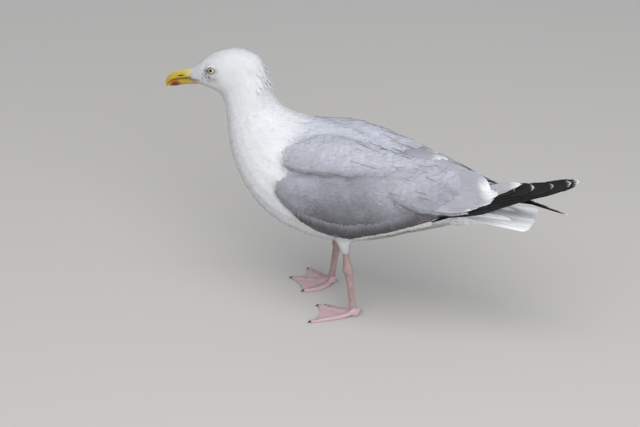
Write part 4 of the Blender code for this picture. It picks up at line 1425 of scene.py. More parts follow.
# %% Tail
TAIL_ROOT = Vector((MIDDLE_X * MM, 0.090, 0.1745))
TAIL_TIP_HEIGHT, TAIL_HALF_WIDTH, TAIL_PAIRS = 0.1722, 8.0 * MM, 6


def lay_tail():
    vanes = Vanes("tail_feathers", seed=400)
    low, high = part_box("tail")
    middle = (low.x + high.x) / 2
    for pair in range(TAIL_PAIRS - 1, -1, -1):
        for side in (RIGHT, LEFT):
            reach = (pair + 0.5) / (TAIL_PAIRS - 0.5)
            tip_x = middle + side * reach * ((high.x - low.x) / 2 - 5.5 * MM)
            tip_y = high.y - (0.6 + 3.2 * reach**2 + vanes.rng.uniform(0, 1.6)) * MM
            tip_z = TAIL_TIP_HEIGHT - 1.6 * MM * reach - 0.25 * MM * (side > 0)
            path = []
            for t in np.linspace(0, 1, 30):
                x = middle + (tip_x - middle) * (0.25 + 0.75 * t)
                sag = 2.4 * MM * reach**2 * math.sin(math.pi * t)
                height = TAIL_ROOT.z * (1 - t) + tip_z * t - sag
                path.append((x, TAIL_ROOT.y + (tip_y - TAIL_ROOT.y) * t, height))
            path, across, out = turned_frames(path, np.array((0.05 * side, 0, 1.0)))
            half = rounded_tip(len(path), TAIL_HALF_WIDTH, 0.085, root=0.45, blunt=2.6)
            vanes.lay(path, across, out, half, ragged=0.05, droop=0.05, comb=0.01)
    return vanes


# %% [markdown]
# Along the foot of the folded wing the greater coverts lie in two slanting rows. Between them and the belly
# show the short white tips of the secondaries. Each row is draped over the skin from hind to front, so that
# every feather covers the edge of the one behind it.

# %% The wing's edge
COVERED = -0.6 * MM  # the roots lie under the coat
EDGE_ROWS = (  # first y, last y, count, root above the foot, degrees of fall, length, half width, white, height
    (0.122, -0.010, 46, 9 * MM, 30, 33 * MM, 6.0 * MM, 0.70, 2.4 * MM),
    (0.104, 0.000, 32, 3 * MM, 24, 15 * MM, 5.0 * MM, -0.5, 3.0 * MM),
    (0.104, -0.068, 30, 35 * MM, 50, 32 * MM, 4.2 * MM, ALL_DARK, 2.0 * MM),
)


def lay_edge(word):
    side = SIDES[word]
    vanes = Vanes(f"wing_edge_{word}", seed=500 + side)
    for first, last, count, root_up, fall, length, half, white, height in EDGE_ROWS:
        for y in np.linspace(first, last, count):
            y += vanes.rng.uniform(-1, 1) * MM
            slope = math.radians(fall + vanes.rng.uniform(-3, 3))
            close = 0.55 + 0.45 * float(ramp(y, -0.075, -0.035)) * float(1 - 0.4 * ramp(y, 0.09, 0.14))
            root = wing_side(side, y - math.cos(slope) * length * 0.6, float(wing_foot(y)) + root_up * close)
            if root is None:
                continue
            heading = Vector((0, math.cos(slope), -math.sin(slope)))
            own = length * close * vanes.rng.uniform(0.95, 1.05)
            path, across, out = draped(
                root, heading, own, 14, lambda t: COVERED + (height - COVERED) * float(ramp(t, 0.1, 0.6))
            )
            half_widths = rounded_tip(len(path), half, 0.26, root=0.6, blunt=2.8)
            vanes.lay(path, across, out, half_widths, white, 0.06, 0.08, fade=float(ramp(y, 0.080, 0.130)))
    return vanes


# %% [markdown]
# Here and there a feather's edge stands off the next and shows a thin dark line, or is worn and shows a pale
# one. Those lines are slivers of vane, draped along the lie from roots that are drawn by lot. The dark ones are
# painted shadow between the feathers; the pale ones are wear.

# %% Thin lines between feathers
SHADOW_LINE, PALE_LINE = 1.8, -0.2  # where their pale colour begins: beyond the tip on the painted shadow lines, before the root on the worn ones
LINE_SPREADS = (  # tract, least y, least z, how many, share of pale ones, lengths in mm
    ("scapulars", 0.000, 0.238, 26, 0.40, (8, 28)),
    ("tertials", 0.040, 0.205, 8, 0.2, (14, 34)),
    ("coverts", 0.030, 0.190, 8, 0.7, (6, 12)),
    ("mantle", 0.010, 0.230, 10, 0.5, (8, 20)),
)


def lay_lines(word):
    side = SIDES[word]
    vanes = Vanes(f"feather_edges_{word}", seed=600 + side)
    for area, least_y, least_z, count, pale, (short, long) in LINE_SPREADS:
        able = (tract == TRACTS[area]) & (y > least_y) & (y < 0.13) & (z > least_z)
        able &= (x - MIDDLE_X * MM) * side > 3 * MM
        for root in vanes.rng.choice(np.flatnonzero(able), count, replace=False):
            length = vanes.rng.uniform(short, long) * MM
            path, across, out = draped(under[root], lie[root], length, 12, lambda t: 1.5 * MM)
            half = np.sin(np.linspace(0.1, 3.04, 12)) * vanes.rng.uniform(0.16, 0.36) * MM
            # Dark lines are painted shadow between feathers; pale ones are worn edges
            kind = PALE_LINE if vanes.rng.random() < pale else SHADOW_LINE
            vanes.lay(path, across, out, half, kind, ragged=0.0, droop=0.0)
    return vanes


# %% [markdown]
# White undertail coverts wrap the root of the tail from beneath and from both sides. Together they are a
# cushion about one axis, so its breadth and its depth along the bird place them all, row behind row.

# %% Undertail
UNDERTAIL_AT = (0.108, 0.144, 0.162, 0.180, 0.212)  # y, with the cushion's half breadth and depth there
UNDERTAIL_BREADTH = tuple(size * MM for size in (28, 24, 20, 16, 13))
UNDERTAIL_DEPTH = tuple(size * MM for size in (25.5, 23.5, 20.5, 14.5, 2.5))
UNDERTAIL_AXIS = 0.171  # height
UNDERTAIL_ROWS, UNDERTAIL_COUNT, UNDERTAIL_ARC = 13, 11, 95  # rows, feathers in a row, degrees to each side
UNDERTAIL_LENGTH = 0.062
UNDERTAIL_ROOT = 0.82  # how far out from the axis a root lies, as a share of its tip's way
UNDERTAIL_HALF_WIDTH = 6 * MM


def lay_undertail():
    vanes = Vanes("undertail_feathers", seed=450)
    for tip_y in np.linspace(UNDERTAIL_AT[-1], UNDERTAIL_AT[0], UNDERTAIL_ROWS):
        breadth, deep = (np.interp(tip_y, UNDERTAIL_AT, sizes) for sizes in (UNDERTAIL_BREADTH, UNDERTAIL_DEPTH))
        for angle in np.radians(np.linspace(-UNDERTAIL_ARC, UNDERTAIL_ARC, UNDERTAIL_COUNT)):
            outward = np.array((math.sin(angle), 0, -math.cos(angle)))
            reach = outward * (breadth, 0, deep)
            tip = np.array((TAIL_ROOT.x, tip_y + vanes.rng.uniform(-2, 2) * MM, UNDERTAIL_AXIS)) + reach
            root = np.array((TAIL_ROOT.x, tip_y - UNDERTAIL_LENGTH, UNDERTAIL_AXIS)) + reach * UNDERTAIL_ROOT
            path = []
            for t in np.linspace(0, 1, 18):
                path.append(root + (tip - root) * t + outward * 1.5 * MM * math.sin(math.pi * t))
            path, across, out = turned_frames(path, outward)
            half = rounded_tip(len(path), UNDERTAIL_HALF_WIDTH, 0.30, root=0.5, blunt=1.8)
            # The front rows take their roots' grey-brown all over: painted shade, as beneath the belly
            fade = float(1 - ramp(tip_y, 0.110, 0.180))
            vanes.lay(path, across, out, half, ragged=0.08, droop=0.02, fade=fade)
    return vanes


# %% [markdown]
# The wing's grey goes into the tertials and ends in a broad white fringe. The primaries are a blackish brown
# with worn white tips, and the tail is plain white. One finish serves all: `white_from` says where along the
# feather the white begins, and a little noise makes that border ragged.

# %% Finishes of the flight feathers


def vane_finish(name, main, dark, pale, roughness=0.75, streaks=0.2, root=None, tip=("#f2f2f1", -0.02, 0.03)):
    """`dark` streaks the `main` colour along the barbs, `pale` clouds it, and `root` is the colour it starts as.
    `tip` is the colour of the end, and over what share of the feather it comes in."""
    made, tree = new_finish(name)
    vane = add(tree, "ShaderNodeUVMap", uv_map="Vane").outputs[0]
    across, along, _ = add(tree, "ShaderNodeSeparateXYZ", {0: vane}).outputs
    lot = add(tree, "ShaderNodeAttribute", attribute_name="lot").outputs["Fac"]
    white_from = add(tree, "ShaderNodeAttribute", attribute_name="white_from").outputs["Fac"]
    place = add(tree, "ShaderNodeTexCoord").outputs["Object"]
    side = calc(tree, "ABSOLUTE", calc(tree, "SUBTRACT", across, 0.5))
    # barbs run out and forward from the shaft
    slant = calc(tree, "SUBTRACT", calc(tree, "MULTIPLY", along, 60), calc(tree, "MULTIPLY", side, 36))
    barb_axes = {"X": slant, "Y": calc(tree, "MULTIPLY", side, 1.5), "Z": lot}
    barb_place = add(tree, "ShaderNodeCombineXYZ", barb_axes).outputs[0]
    barbs = add(tree, "ShaderNodeTexNoise", {"Vector": barb_place, "Scale": 1.0, "Detail": 2.0})
    band = from_to(tree, barbs.outputs["Fac"], 0.35, 0.7)
    colour = blend_colours(tree, calc(tree, "MULTIPLY", band, streaks), linear(main), linear(dark))
    cloud = add(tree, "ShaderNodeTexNoise", {"Vector": place, "Scale": 1 / 0.012, "Detail": 3.0}).outputs["Fac"]
    colour = tinted(tree, colour, pale, from_to(tree, cloud, 0.45, 0.75, 0, 0.35))
    if root:
        fade = add(tree, "ShaderNodeAttribute", attribute_name="fade").outputs["Fac"]
        near_root = calc(tree, "MAXIMUM", fade, from_to(tree, along, 0.80, 0.15))
        colour = tinted(tree, colour, root, near_root)
    ragged = calc(tree, "MULTIPLY", calc(tree, "SUBTRACT", barbs.outputs["Fac"], 0.5), 0.10)
    start = calc(tree, "SUBTRACT", calc(tree, "SUBTRACT", along, white_from), ragged)
    colour = tinted(tree, colour, tip[0], from_to(tree, start, *tip[1:]))
    each = from_to(tree, lot, 0, 1, 0.94, 1.04)
    shade = calc(tree, "MULTIPLY", each, from_to(tree, side, 0.0, 0.06, 0.90, 1.0))
    shaded = add(tree, "ShaderNodeVectorMath", {0: colour, "Scale": shade}, operation="SCALE").outputs[0]
    relief = (barbs.outputs["Fac"], 0.12, 0.3 * MM)
    set_surface(tree, shaded, {"Roughness": roughness, "Specular IOR Level": 0.3}, relief)
    return made


PRIMARY_FINISH = vane_finish("black primaries", "#110d0c", "#090707", "#2a221f", 0.68, 0.6)
TERTIAL_FINISH = vane_finish("grey tertials", "#a1a1a9", "#93939c", "#b1aba5", tip=("#e4e6e9", -0.14, 0.12))
# The greater coverts' own brown-grey, made darker by painted shade along the wing's foot
EDGE_COLOURS = ("#5c595d", "#403d41", "#6e6a66")
EDGE_FINISH = vane_finish(
    "brown-grey greater coverts", *EDGE_COLOURS, streaks=0.9, root="#8b8a92", tip=("#dad8d5", -0.03, 0.06)
)
# Painted shadow lines take the dark main colour, worn edges the pale tip colour
SHADOW_AND_WORN_EDGE_FINISH = vane_finish("feather edges", "#8b8582", "#7d7876", "#928d8b", 0.8, tip=("#d9d3ce", -0.02, 0.03))
WHITE_VANE = ("#f6f7f8", "#ebedf0", "#f6f5f3")
TAIL_FINISH = vane_finish("white tail", *WHITE_VANE)
# Grey-brown at the roots: painted shade, as beneath the belly
UNDERTAIL_FINISH = vane_finish("white undertail", *WHITE_VANE, root="#c6c1bc")
print("Finishes so far:", [made.name for made in bpy.data.materials])

# %% Lay the flight feathers
flight = {}  # piece: the nodes that it stands for
for word in SIDES:
    flight[lay_primaries(word).finish(PRIMARY_FINISH)] = [f"primaries_{word}"]
    flight[lay_tertials(word).finish(TERTIAL_FINISH)] = []
    flight[lay_edge(word).finish(EDGE_FINISH)] = []
    flight[lay_lines(word).finish(SHADOW_AND_WORN_EDGE_FINISH)] = []
flight[lay_tail().finish(TAIL_FINISH)] = ["tail"]
flight[lay_ridge().finish(TERTIAL_FINISH)] = []
flight[lay_undertail().finish(UNDERTAIL_FINISH)] = []

# %% [markdown]
# The bill is two horn sheaths. Fine copies of the solids are fused and smoothed until the loft's facets are
# gone. Along the side the upper half keeps a soft groove that starts at the nostril, a slit dented into it and
# painted dark as shade. Each point knows its place in the bill's frame, and the finish reads it: yellow, with an
# orange-red spot at the angle of the lower half whose dark middle is partly painted shade, flesh-coloured at the
# root, paler at the tips, with painted shade where the halves meet and towards the root of the lower half.

# %% The bill
BILL_VOXEL = 0.45 * MM
BILL_GROWTH = {"bill_upper": 0.20 * MM, "bill_lower": 0.38 * MM}  # the halves of a shut bill touch
NOSTRIL = (1.0, 6.6)  # s and h of its middle
NOSTRIL_LENGTH, NOSTRIL_HEIGHT, NOSTRIL_DEPTH = 6.2, 0.85, 1.1


def fine_copy(name, nodes, voxel, grow, passes):
    piece = fused(name, grown(merged_copy(nodes), grow), voxel)
    piece.data.materials.clear()
    set_coords(piece.data, relaxed(coords(piece.data), edge_ends(piece.data), passes, back=ROUNDING))
    piece.data.shade_smooth()
    return piece


def bill_piece(name):
    piece = fine_copy(name, [name], BILL_VOXEL, BILL_GROWTH[name], 14)
    piece.name = f"{name}_horn"
    spots, facing = coords(piece.data), coords(piece.data, "normal")
    s, h, w = in_bill_frame(spots).T
    outward = facing @ np.array(HEAD_SIDE) * np.sign(w)
    side_face = ramp(outward, 0.15, 0.5)
    dent = 0
    if name == "bill_upper":
        slit = np.hypot((s - NOSTRIL[0]) / NOSTRIL_LENGTH, (h - NOSTRIL[1] - 0.09 * s) / NOSTRIL_HEIGHT)
        dent = NOSTRIL_DEPTH * (1 - ramp(slit, 0.55, 1.25)) * side_face
        groove = np.abs(h - NOSTRIL[1] - 0.09 * s - 0.4)
        dent += 0.28 * (1 - ramp(groove, 0.0, 1.6)) * ramp(s, -14, -6) * (1 - ramp(s, 6, 14)) * side_face
        dent -= 0.16 * np.exp(-((h - 3.2) ** 2) / 1.2) * ramp(s, -4, 4) * (1 - ramp(s, 18, 26)) * side_face
    else:
        spots += np.outer(0.9 * MM * ramp(s, 20, 29), BILL_FRONT) + np.outer(0.5 * MM * ramp(s, 20, 29), BILL_UP)
    plates = 0.03 * np.sin(s * 2.1 + 0.5 * np.sin(h * 0.9)) * side_face * ramp(s, 4, 12)
    set_coords(piece.data, spots - facing * ((dent + plates) * MM)[:, None])
    store(piece.data, "bill_place", in_bill_frame(spots), "FLOAT_VECTOR")
    return piece


def spot_mask(tree, place, middle, half, soft=0.3):
    """1 inside an ellipse round `middle` in the bill's s and h, and 0 outside."""
    shift = add(tree, "ShaderNodeVectorMath", {0: place, 1: (*middle, 0)}, operation="SUBTRACT").outputs[0]
    shrink = (1 / half[0], 1 / half[1], 0)
    scaled = add(tree, "ShaderNodeVectorMath", {0: shift, 1: shrink}, operation="MULTIPLY")
    away = add(tree, "ShaderNodeVectorMath", {0: scaled.outputs[0]}, operation="LENGTH").outputs["Value"]
    return from_to(tree, away, 1 + soft, 1 - soft)


def horn_finish(name, lower):
    made, tree = new_finish(name)
    place = add(tree, "ShaderNodeAttribute", attribute_name="bill_place").outputs["Vector"]
    s, h, _ = add(tree, "ShaderNodeSeparateXYZ", {0: place}).outputs
    cloud = add(tree, "ShaderNodeTexNoise", {"Vector": place, "Scale": 0.28, "Detail": 4.0}).outputs["Fac"]
    fine = add(tree, "ShaderNodeTexNoise", {"Vector": place, "Scale": 1.1, "Detail": 3.0}).outputs["Fac"]
    colour = blend_colours(tree, from_to(tree, cloud, 0.35, 0.7), linear("#cdb83e"), linear("#b79d2b"))
    colour = tinted(tree, colour, "#d9cba8", from_to(tree, s, -3, -17), 0.75)  # flesh at the root
    if lower:
        colour = tinted(tree, colour, "#a3480f", spot_mask(tree, place, (16.0, -5.0), (10.5, 6.0), 0.5))
        # The spot's dark middle: a deeper red, and partly painted shade
        colour = tinted(tree, colour, "#5c2003", spot_mask(tree, place, (16.0, -5.6), (6.5, 3.6), 0.6))
        tip = from_to(tree, s, 28, 30)
        edge = from_to(tree, h, 0.2, 1.4)
        # Painted shade: the lower half darker towards its root
        colour = tinted(tree, colour, "#a08a2c", from_to(tree, s, 12, -2), 0.6)
    else:
        colour = tinted(tree, colour, "#c9962c", spot_mask(tree, place, (26.5, 3.0), (7.0, 4.5), 0.7), 0.55)
        colour = tinted(tree, colour, "#eed678", from_to(tree, h, 10.5, 12.8), 0.4)  # paler along the ridge
        tip = from_to(tree, s, 32.5, 34.5)
        edge = calc(tree, "MULTIPLY", from_to(tree, h, 3.4, 1.6), from_to(tree, s, 24, 18))
    colour = tinted(tree, colour, "#e9dcae", tip, 0.7)
    # Painted shade where the halves meet
    colour = tinted(tree, colour, "#8d6f2c", edge, 0.6)
    if not lower:
        colour = tinted(tree, colour, "#4a3d1c", spot_mask(tree, place, (33.0, 1.6), (0.9, 1.3), 0.6), 0.7)
        # The nostril's slit, painted dark as shade inside it
        colour = tinted(tree, colour, "#20160c", spot_mask(tree, place, (1.0, 6.7), (6.0, 0.95), 0.45), 0.95)
    colour = tinted(tree, colour, "#a8772e", from_to(tree, fine, 0.56, 0.75, 0, 0.30))
    wax = {"Coat Weight": 0.15, "Coat Roughness": 0.3}
    set_surface(tree, colour, {"Roughness": 0.38, **wax}, (fine, 0.15, 0.2 * MM))
    return made


UPPER_HORN, LOWER_HORN = horn_finish("upper bill horn", False), horn_finish("lower bill horn", True)
bill_upper, bill_lower = bill_piece("bill_upper"), bill_piece("bill_lower")
bill_upper.data.materials.append(UPPER_HORN)
bill_lower.data.materials.append(LOWER_HORN)
print("Bill:", triangles(bill_upper), "+", triangles(bill_lower), "triangles")

# %% [markdown]
# From the corner of the bill a fleshy yellow-brown line, the gape, runs back under the eye. It is a thin
# flattened strip laid on the skin, so the face feathers close over its edges.

# %% The gape
GAPE_LINE = ((-7, 1.6), (-13, 1.3), (-20, 0.6), (-27, 0.2), (-33, 0.2), (-38, -0.6))  # s and h
GAPE_RADII = (0.9, 1.0, 0.9, 0.8, 0.6, 0.25)
GAPE_SIDES = 8


def ringed_piece(name, bm, rings, capped=False):
    """A smooth piece from rings of points, each joined to the next. A ring of one point is a pole."""
    for ring, following in zip(rings, rings[1:]):
        for j in range(max(len(ring), len(following))):
            corners = [ring[j - 1], ring[j]] if len(ring) > 1 else [ring[0]]
            corners += [following[j], following[j - 1]] if len(following) > 1 else [following[0]]
            bm.faces.new(corners)
    if capped:
        bm.faces.new(rings[0][::-1])
        bm.faces.new(rings[-1])
    bmesh.ops.recalc_face_normals(bm, faces=bm.faces[:])
    for face in bm.faces:
        face.smooth = True
    return new_piece(name, bm)


def flat_tube(name, path, radii, outs, thin):
    """A closed tube along a path, thinner along `outs` by the share `thin`."""
    bm = bmesh.new()
    path = [Vector(p) for p in path]
    rings = []
    for k, (point, radius) in enumerate(zip(path, radii)):
        ahead = (path[min(k + 1, len(path) - 1)] - path[max(k - 1, 0)]).normalized()
        across = ahead.cross(outs[k]).normalized()
        over = across.cross(ahead)
        ring = []
        for angle in np.arange(GAPE_SIDES) / GAPE_SIDES * math.tau:
            spoke = across * math.cos(angle) + over * math.sin(angle) * thin
            ring.append(bm.verts.new(point + spoke * radius))
        rings.append(ring)
    return ringed_piece(name, bm, rings, capped=True)


def gape(word):
    line = smooth_line([from_bill_frame(s, h, 0) for s, h in GAPE_LINE], 8)
    radii = smooth_line([(r, 0, 0) for r in GAPE_RADII], 8)[:, 0] * MM
    path, outs = [], []
    for spot in line:
        far = Vector(spot) + HEAD_SIDE * SIDES[word] * 40 * MM
        hit, facing, _, _ = SKIN_TREE.ray_cast(far, -HEAD_SIDE * SIDES[word])
        path.append(hit + facing * 0.75 * MM)
        outs.append(facing)
    return flat_tube(f"gape_{word}", path, radii, outs, 0.55)


GAPE_FLESH = plain_finish("gape flesh", "#a8764a", 0.55)
gapes = [gape(word) for word in SIDES]
for piece in gapes:
    piece.data.materials.append(GAPE_FLESH)
print("Gape:", [triangles(piece) for piece in gapes])

# %% [markdown]
# The eye is a ball with a clear bulging cornea, a black pupil and a pale yellow iris darker at its rim. A bare
# ring of dark skin, and beyond it a low fold of feathered lid, close round it. The rings are lathe shapes about
# the eye's own axis, which looks out, a little up and hardly back.

# %% Eyes
PUPIL, IRIS = 2.5, 4.3  # mm
BROW_REACH, BROW_DROP = 0.55, 0.75  # mm: how far the upper lid stands out over the eye, and hangs down
OPENING, SEAT = EYE_OPENING / MM, EYE_SEAT / MM


def lathe(name, word, profile, sides=48, oval=1.0):
    """Turns (distance out along the axis, radius) in mm about an eye's axis. Ends on the axis are closed."""
    axis, ahead, over = eye_axes(word)
    bm = bmesh.new()
    rings = []
    for out, radius in profile:
        middle = EYES[word] + axis * out * MM
        if radius < 1e-6:
            rings.append([bm.verts.new(middle)])
            continue
        ring = []
        for angle in np.arange(sides) / sides * math.tau:
            spoke = ahead * math.cos(angle) * oval + over * math.sin(angle)
            ring.append(bm.verts.new(middle + spoke * radius * MM))
        rings.append(ring)
    return ringed_piece(name, bm, rings)


def eyeball(word):
    radius = EYE_RADIUS / MM
    profile = []
    for angle in np.radians(np.linspace(0, 180, 37)):
        bulge = 0.35 * math.exp(-((angle / 0.42) ** 2))
        profile.append(((radius - 0.15 + bulge) * math.cos(angle), (radius - 0.15 + bulge) * math.sin(angle)))
    profile[0] = (profile[0][0], 0.0)
    profile[-1] = (profile[-1][0], 0.0)
    piece = lathe(f"eyeball_{word}", word, profile)
    axis = np.array(eye_axes(word)[0])
    away = coords(piece.data) - np.array(EYES[word])
    along = away @ axis
    across = np.linalg.norm(away - along[:, None] * axis, axis=1)
    store(piece.data, "from_axis", np.where(along > 0, across, EYE_RADIUS * 2 - across) / MM)
    return piece


def eye_finish():
    made, tree = new_finish("wet eye")
    away = add(tree, "ShaderNodeAttribute", attribute_name="from_axis").outputs["Fac"]
    place = add(tree, "ShaderNodeTexCoord").outputs["Object"]
    fibre_size = {"Vector": place, "Scale": 1 / 0.0006, "Detail": 3.0}
    fibres = add(tree, "ShaderNodeTexNoise", fibre_size).outputs["Fac"]
    colour = blend_colours(tree, from_to(tree, fibres, 0.35, 0.65), linear("#f1ecd4"), linear("#dcd3ac"))
    colour = tinted(tree, colour, "#7a6638", from_to(tree, away, IRIS - 0.5, IRIS))
    colour = tinted(tree, colour, "#070606", from_to(tree, away, PUPIL + 0.12, PUPIL - 0.12))
    set_surface(tree, colour, {"Roughness": 0.12, "Coat Weight": 0.5, "Coat Roughness": 0.03})
    return made


def ring_profile(middle_out, middle_radius, half_out, half_radius, steps=12):
    """A ring's round cross-section for the lathe, closed on itself."""
    return [
        (middle_out + half_out * math.sin(a), middle_radius + half_radius * math.cos(a))
        for a in np.linspace(0, math.tau, steps + 1)
    ]


def lowered_brow(piece, word):
    """Brings the upper part of a ring out and down, as an upper lid."""
    axis, _, over = (np.array(v) for v in eye_axes(word))
    over = over * np.sign(over[2])
    spots = coords(piece.data)
    away = spots - np.array(EYES[word])
    height = np.clip(away @ over / (OPENING * MM), -1, 1)
    share = np.maximum(height, 0) ** 1.5
    from_axis = np.linalg.norm(away - np.outer(away @ axis, axis), axis=1)
    near = 1 - ramp(from_axis, OPENING * MM, (OPENING + 3.4) * MM)
    move = np.outer(BROW_REACH * share, axis) - np.outer(BROW_DROP * share * near, over)
    set_coords(piece.data, spots + move * MM)


def closed_ring(name, word, profile, oval):
    """A lathe ring whose profile ends where it starts, with its doubles merged and its faces turned outwards."""
    piece = lathe(name, word, profile, oval=oval)
    bm = bmesh.new()
    bm.from_mesh(piece.data)
    bmesh.ops.remove_doubles(bm, verts=bm.verts, dist=0.001 * MM)
    bmesh.ops.recalc_face_normals(bm, faces=bm.faces[:])
    bm.to_mesh(piece.data)
    bm.free()
    return piece


def bare_ring(word):
    """The bare ring round the opening, against the ball."""
    profile = ring_profile(SEAT + 0.15, OPENING + 0.40, 0.62, 0.66)
    return closed_ring(f"eye_ring_{word}", word, profile, 1.06)


def fold(word):
    """The feathered lid: a low collar that rises from the face to the bare ring."""
    inner, outer = OPENING + 0.75, OPENING + 3.6
    profile = []
    for t in np.linspace(0, 1, 9):
        profile.append((SEAT + 0.35 - 2.3 * t**1.6 + 0.35 * math.sin(math.pi * t), inner + (outer - inner) * t))
    profile += [(SEAT - 3.6, outer), (SEAT - 2.4, inner)]
    profile.append(profile[0])
    return closed_ring(f"eye_fold_{word}", word, profile, 1.10)


EYE_FINISH = eye_finish()
RING_SKIN = plain_finish("bare eye ring", "#3f352b", 0.5)
eyes, trims = {}, []
for word in SIDES:
    eyes[word] = eyeball(word)
    eyes[word].data.materials.append(EYE_FINISH)
    for piece, finish in ((bare_ring(word), RING_SKIN), (fold(word), SKIN_PLUMAGE)):
        piece.data.materials.append(finish)
        lowered_brow(piece, word)
        trims.append(piece)
    s, h, _ = in_bill_frame(coords(trims[-1].data)).T
    smudged = 0.75 * np.exp(-(((s - eye_s - 7.0) / 3.8) ** 2) - ((h - eye_h - 1.0) / 2.8) ** 2)
    smudged += 0.30 + 0.25 * np.exp(-(((s - eye_s + 7.5) / 3.0) ** 2) - ((h - eye_h + 0.5) / 3.0) ** 2)
    store(trims[-1].data, "marks", np.stack([0 * s, 0 * s, np.clip(smudged, 0, 0.9)], 1), "FLOAT_VECTOR")
    store(trims[-1].data, "tone", np.ones(len(s)))
print("Eyes:", [triangles(piece) for piece in [*eyes.values(), *trims]])

# %% [markdown]
# Each leg and foot share one skin, from fine copies of both solids. Along the front of the shank the skin is
# cast in broad scutes, and the ankle is a swollen, creased knuckle. The toes stand out of the web as ridges
# with little scutes of their own, and the web between them has fine folds that fan out from the heel. The
# folds and scutes are shape, not only shading; the finish also paints shade into their creases.

# %% Legs and feet
LEG_VOXEL = 0.7 * MM
TOES = ("inner", "middle", "outer")
SCUTE_PITCH, SCUTE_DEPTH = 3.1, 0.22  # mm, on the shank
TOE_PITCH, TOE_SCUTE_DEPTH = 1.7, 0.13  # mm, on the toes
FOLD_PITCH, FOLD_DEPTH = 5.5, 0.20  # degrees and mm, on the web


def toe_lines(word):
    """Heel, and each front toe's end at its claw's root, on the floor plane."""
    low = coords(frame["nodes"][f"leg_{word}"].data)
    heel = low[low[:, 2] < low[:, 2].min() + 3 * MM].mean(0)[:2]
    ends_of = {}
    for toe in TOES:
        spots = coords(frame["nodes"][f"claw_{word}_{toe}"].data)
        away = np.linalg.norm(spots[:, :2] - heel, axis=1)
        ends_of[toe] = spots[away < away.min() + 1.5 * MM].mean(0)[:2]
    return heel, ends_of


def from_segment(points, a, b):
    """Distance of points from a segment, and how far along it they are, in metres."""
    line = b - a
    share = np.clip(((points - a) @ line) / (line @ line), 0, 1)
    return np.linalg.norm(points - a - share[:, None] * line, axis=1), share * np.linalg.norm(line)


def saw(x):
    """A scute's profile over 0 to 1: a smooth rise and a sharp step back."""
    x = x - np.floor(x)
    return x**1.5 - np.clip((x - 0.86) / 0.14, 0, 1)


def leg_piece(word):
    piece = fine_copy(f"leg_skin_{word}", [f"leg_{word}", f"foot_{word}"], LEG_VOXEL, 0.22 * MM, 10)
    spots, facing = coords(piece.data), coords(piece.data, "normal")
    links = edge_ends(piece.data)
    heel, toes = toe_lines(word)
    ankle = box_middle(f"leg_{word}").z + 16 * MM

    # The shank: scutes in front, a swollen creased ankle, thinner above it
    height = spots[:, 2]
    centre = np.array([np.interp(height, *band_middle(spots, k)) for k in (0, 1)]).T
    away = spots[:, :2] - centre
    angle = np.degrees(np.arctan2(np.abs(away[:, 0]), -away[:, 1]))
    on_shank = ramp(height, 10 * MM, 15 * MM)
    front = (1 - ramp(angle, 45, 80)) * on_shank
    behind = ramp(angle, 100, 130) * on_shank
    push = SCUTE_DEPTH * (saw(height / MM / SCUTE_PITCH) - 0.3) * front
    push += 0.10 * ripple(spots, 1.3 * MM, 3) * behind + 0.10 * ripple(spots, 0.9 * MM, 5) * on_shank
    knuckle = np.exp(-(((height - ankle) / (5.5 * MM)) ** 2))
    push += 0.95 * knuckle
    push -= 0.22 * np.clip(np.cos(height / MM * math.tau / 2.3), 0, 1) * knuckle * (1 - front)

    # The foot: toe ridges, scutes across them, folds in the web
    flat = spots[:, :2]
    toe_gap, toe_travel = np.full(len(spots), 1.0), np.zeros(len(spots))
    for toe in TOES:
        gap, along = from_segment(flat, heel, toes[toe])
        nearer = gap < toe_gap
        toe_gap[nearer], toe_travel[nearer] = gap[nearer], along[nearer]
    low_down = 1 - ramp(height, 11 * MM, 14 * MM)
    upward = ramp(facing[:, 2], 0.1, 0.5) * low_down
    ridge = (1 - ramp(toe_gap, 1.6 * MM, 3.2 * MM)) * low_down
    push += TOE_SCUTE_DEPTH * (saw(toe_travel / MM / TOE_PITCH) - 0.3) * ridge * upward
    joints = np.cos(toe_travel / MM * math.tau / 15.0)
    push += 0.28 * joints * ridge * low_down * ramp(toe_travel, 6 * MM, 12 * MM)
    web = (1 - ridge) * low_down
    fan = np.degrees(np.arctan2(flat[:, 0] - heel[0], heel[1] - flat[:, 1]))
    folds = np.sin(fan / FOLD_PITCH * math.tau + 1.5 * ripple(spots * (1, 1, 0), 7 * MM, 2))
    push += FOLD_DEPTH * folds * web * upward * ramp(toe_gap, 2 * MM, 6 * MM)
    push += 0.10 * ripple(spots, 1.1 * MM, 8) * upward
    moved = spots + facing * (push * MM)[:, None]
    moved[:, 2] = np.maximum(moved[:, 2], 0.1 * MM)
    set_coords(piece.data, moved)

    # What the finish reads
    # Painted shade in the creases and hollows, where the skin is pushed in
    crease = relaxed(np.clip(-push, 0, 1) * 2.2, links, 1)
    store(piece.data, "web", relaxed(web * (1 - on_shank), links, 3))
    store(piece.data, "pale", 0.5 * ridge + 0.3 * on_shank)
    store(piece.data, "crease", np.clip(crease, 0, 1))
    store(piece.data, "shin", front * ramp(height, 22 * MM, 60 * MM))
    return piece


def band_middle(spots, axis):
    """Heights, and the middle of the leg along one axis at each."""
    rows = np.arange(0.012, 0.097, 0.004)
    middles = [spots[np.abs(spots[:, 2] - row) < 3 * MM][:, axis] for row in rows]
    return rows, np.array([(m.min() + m.max()) / 2 for m in middles])


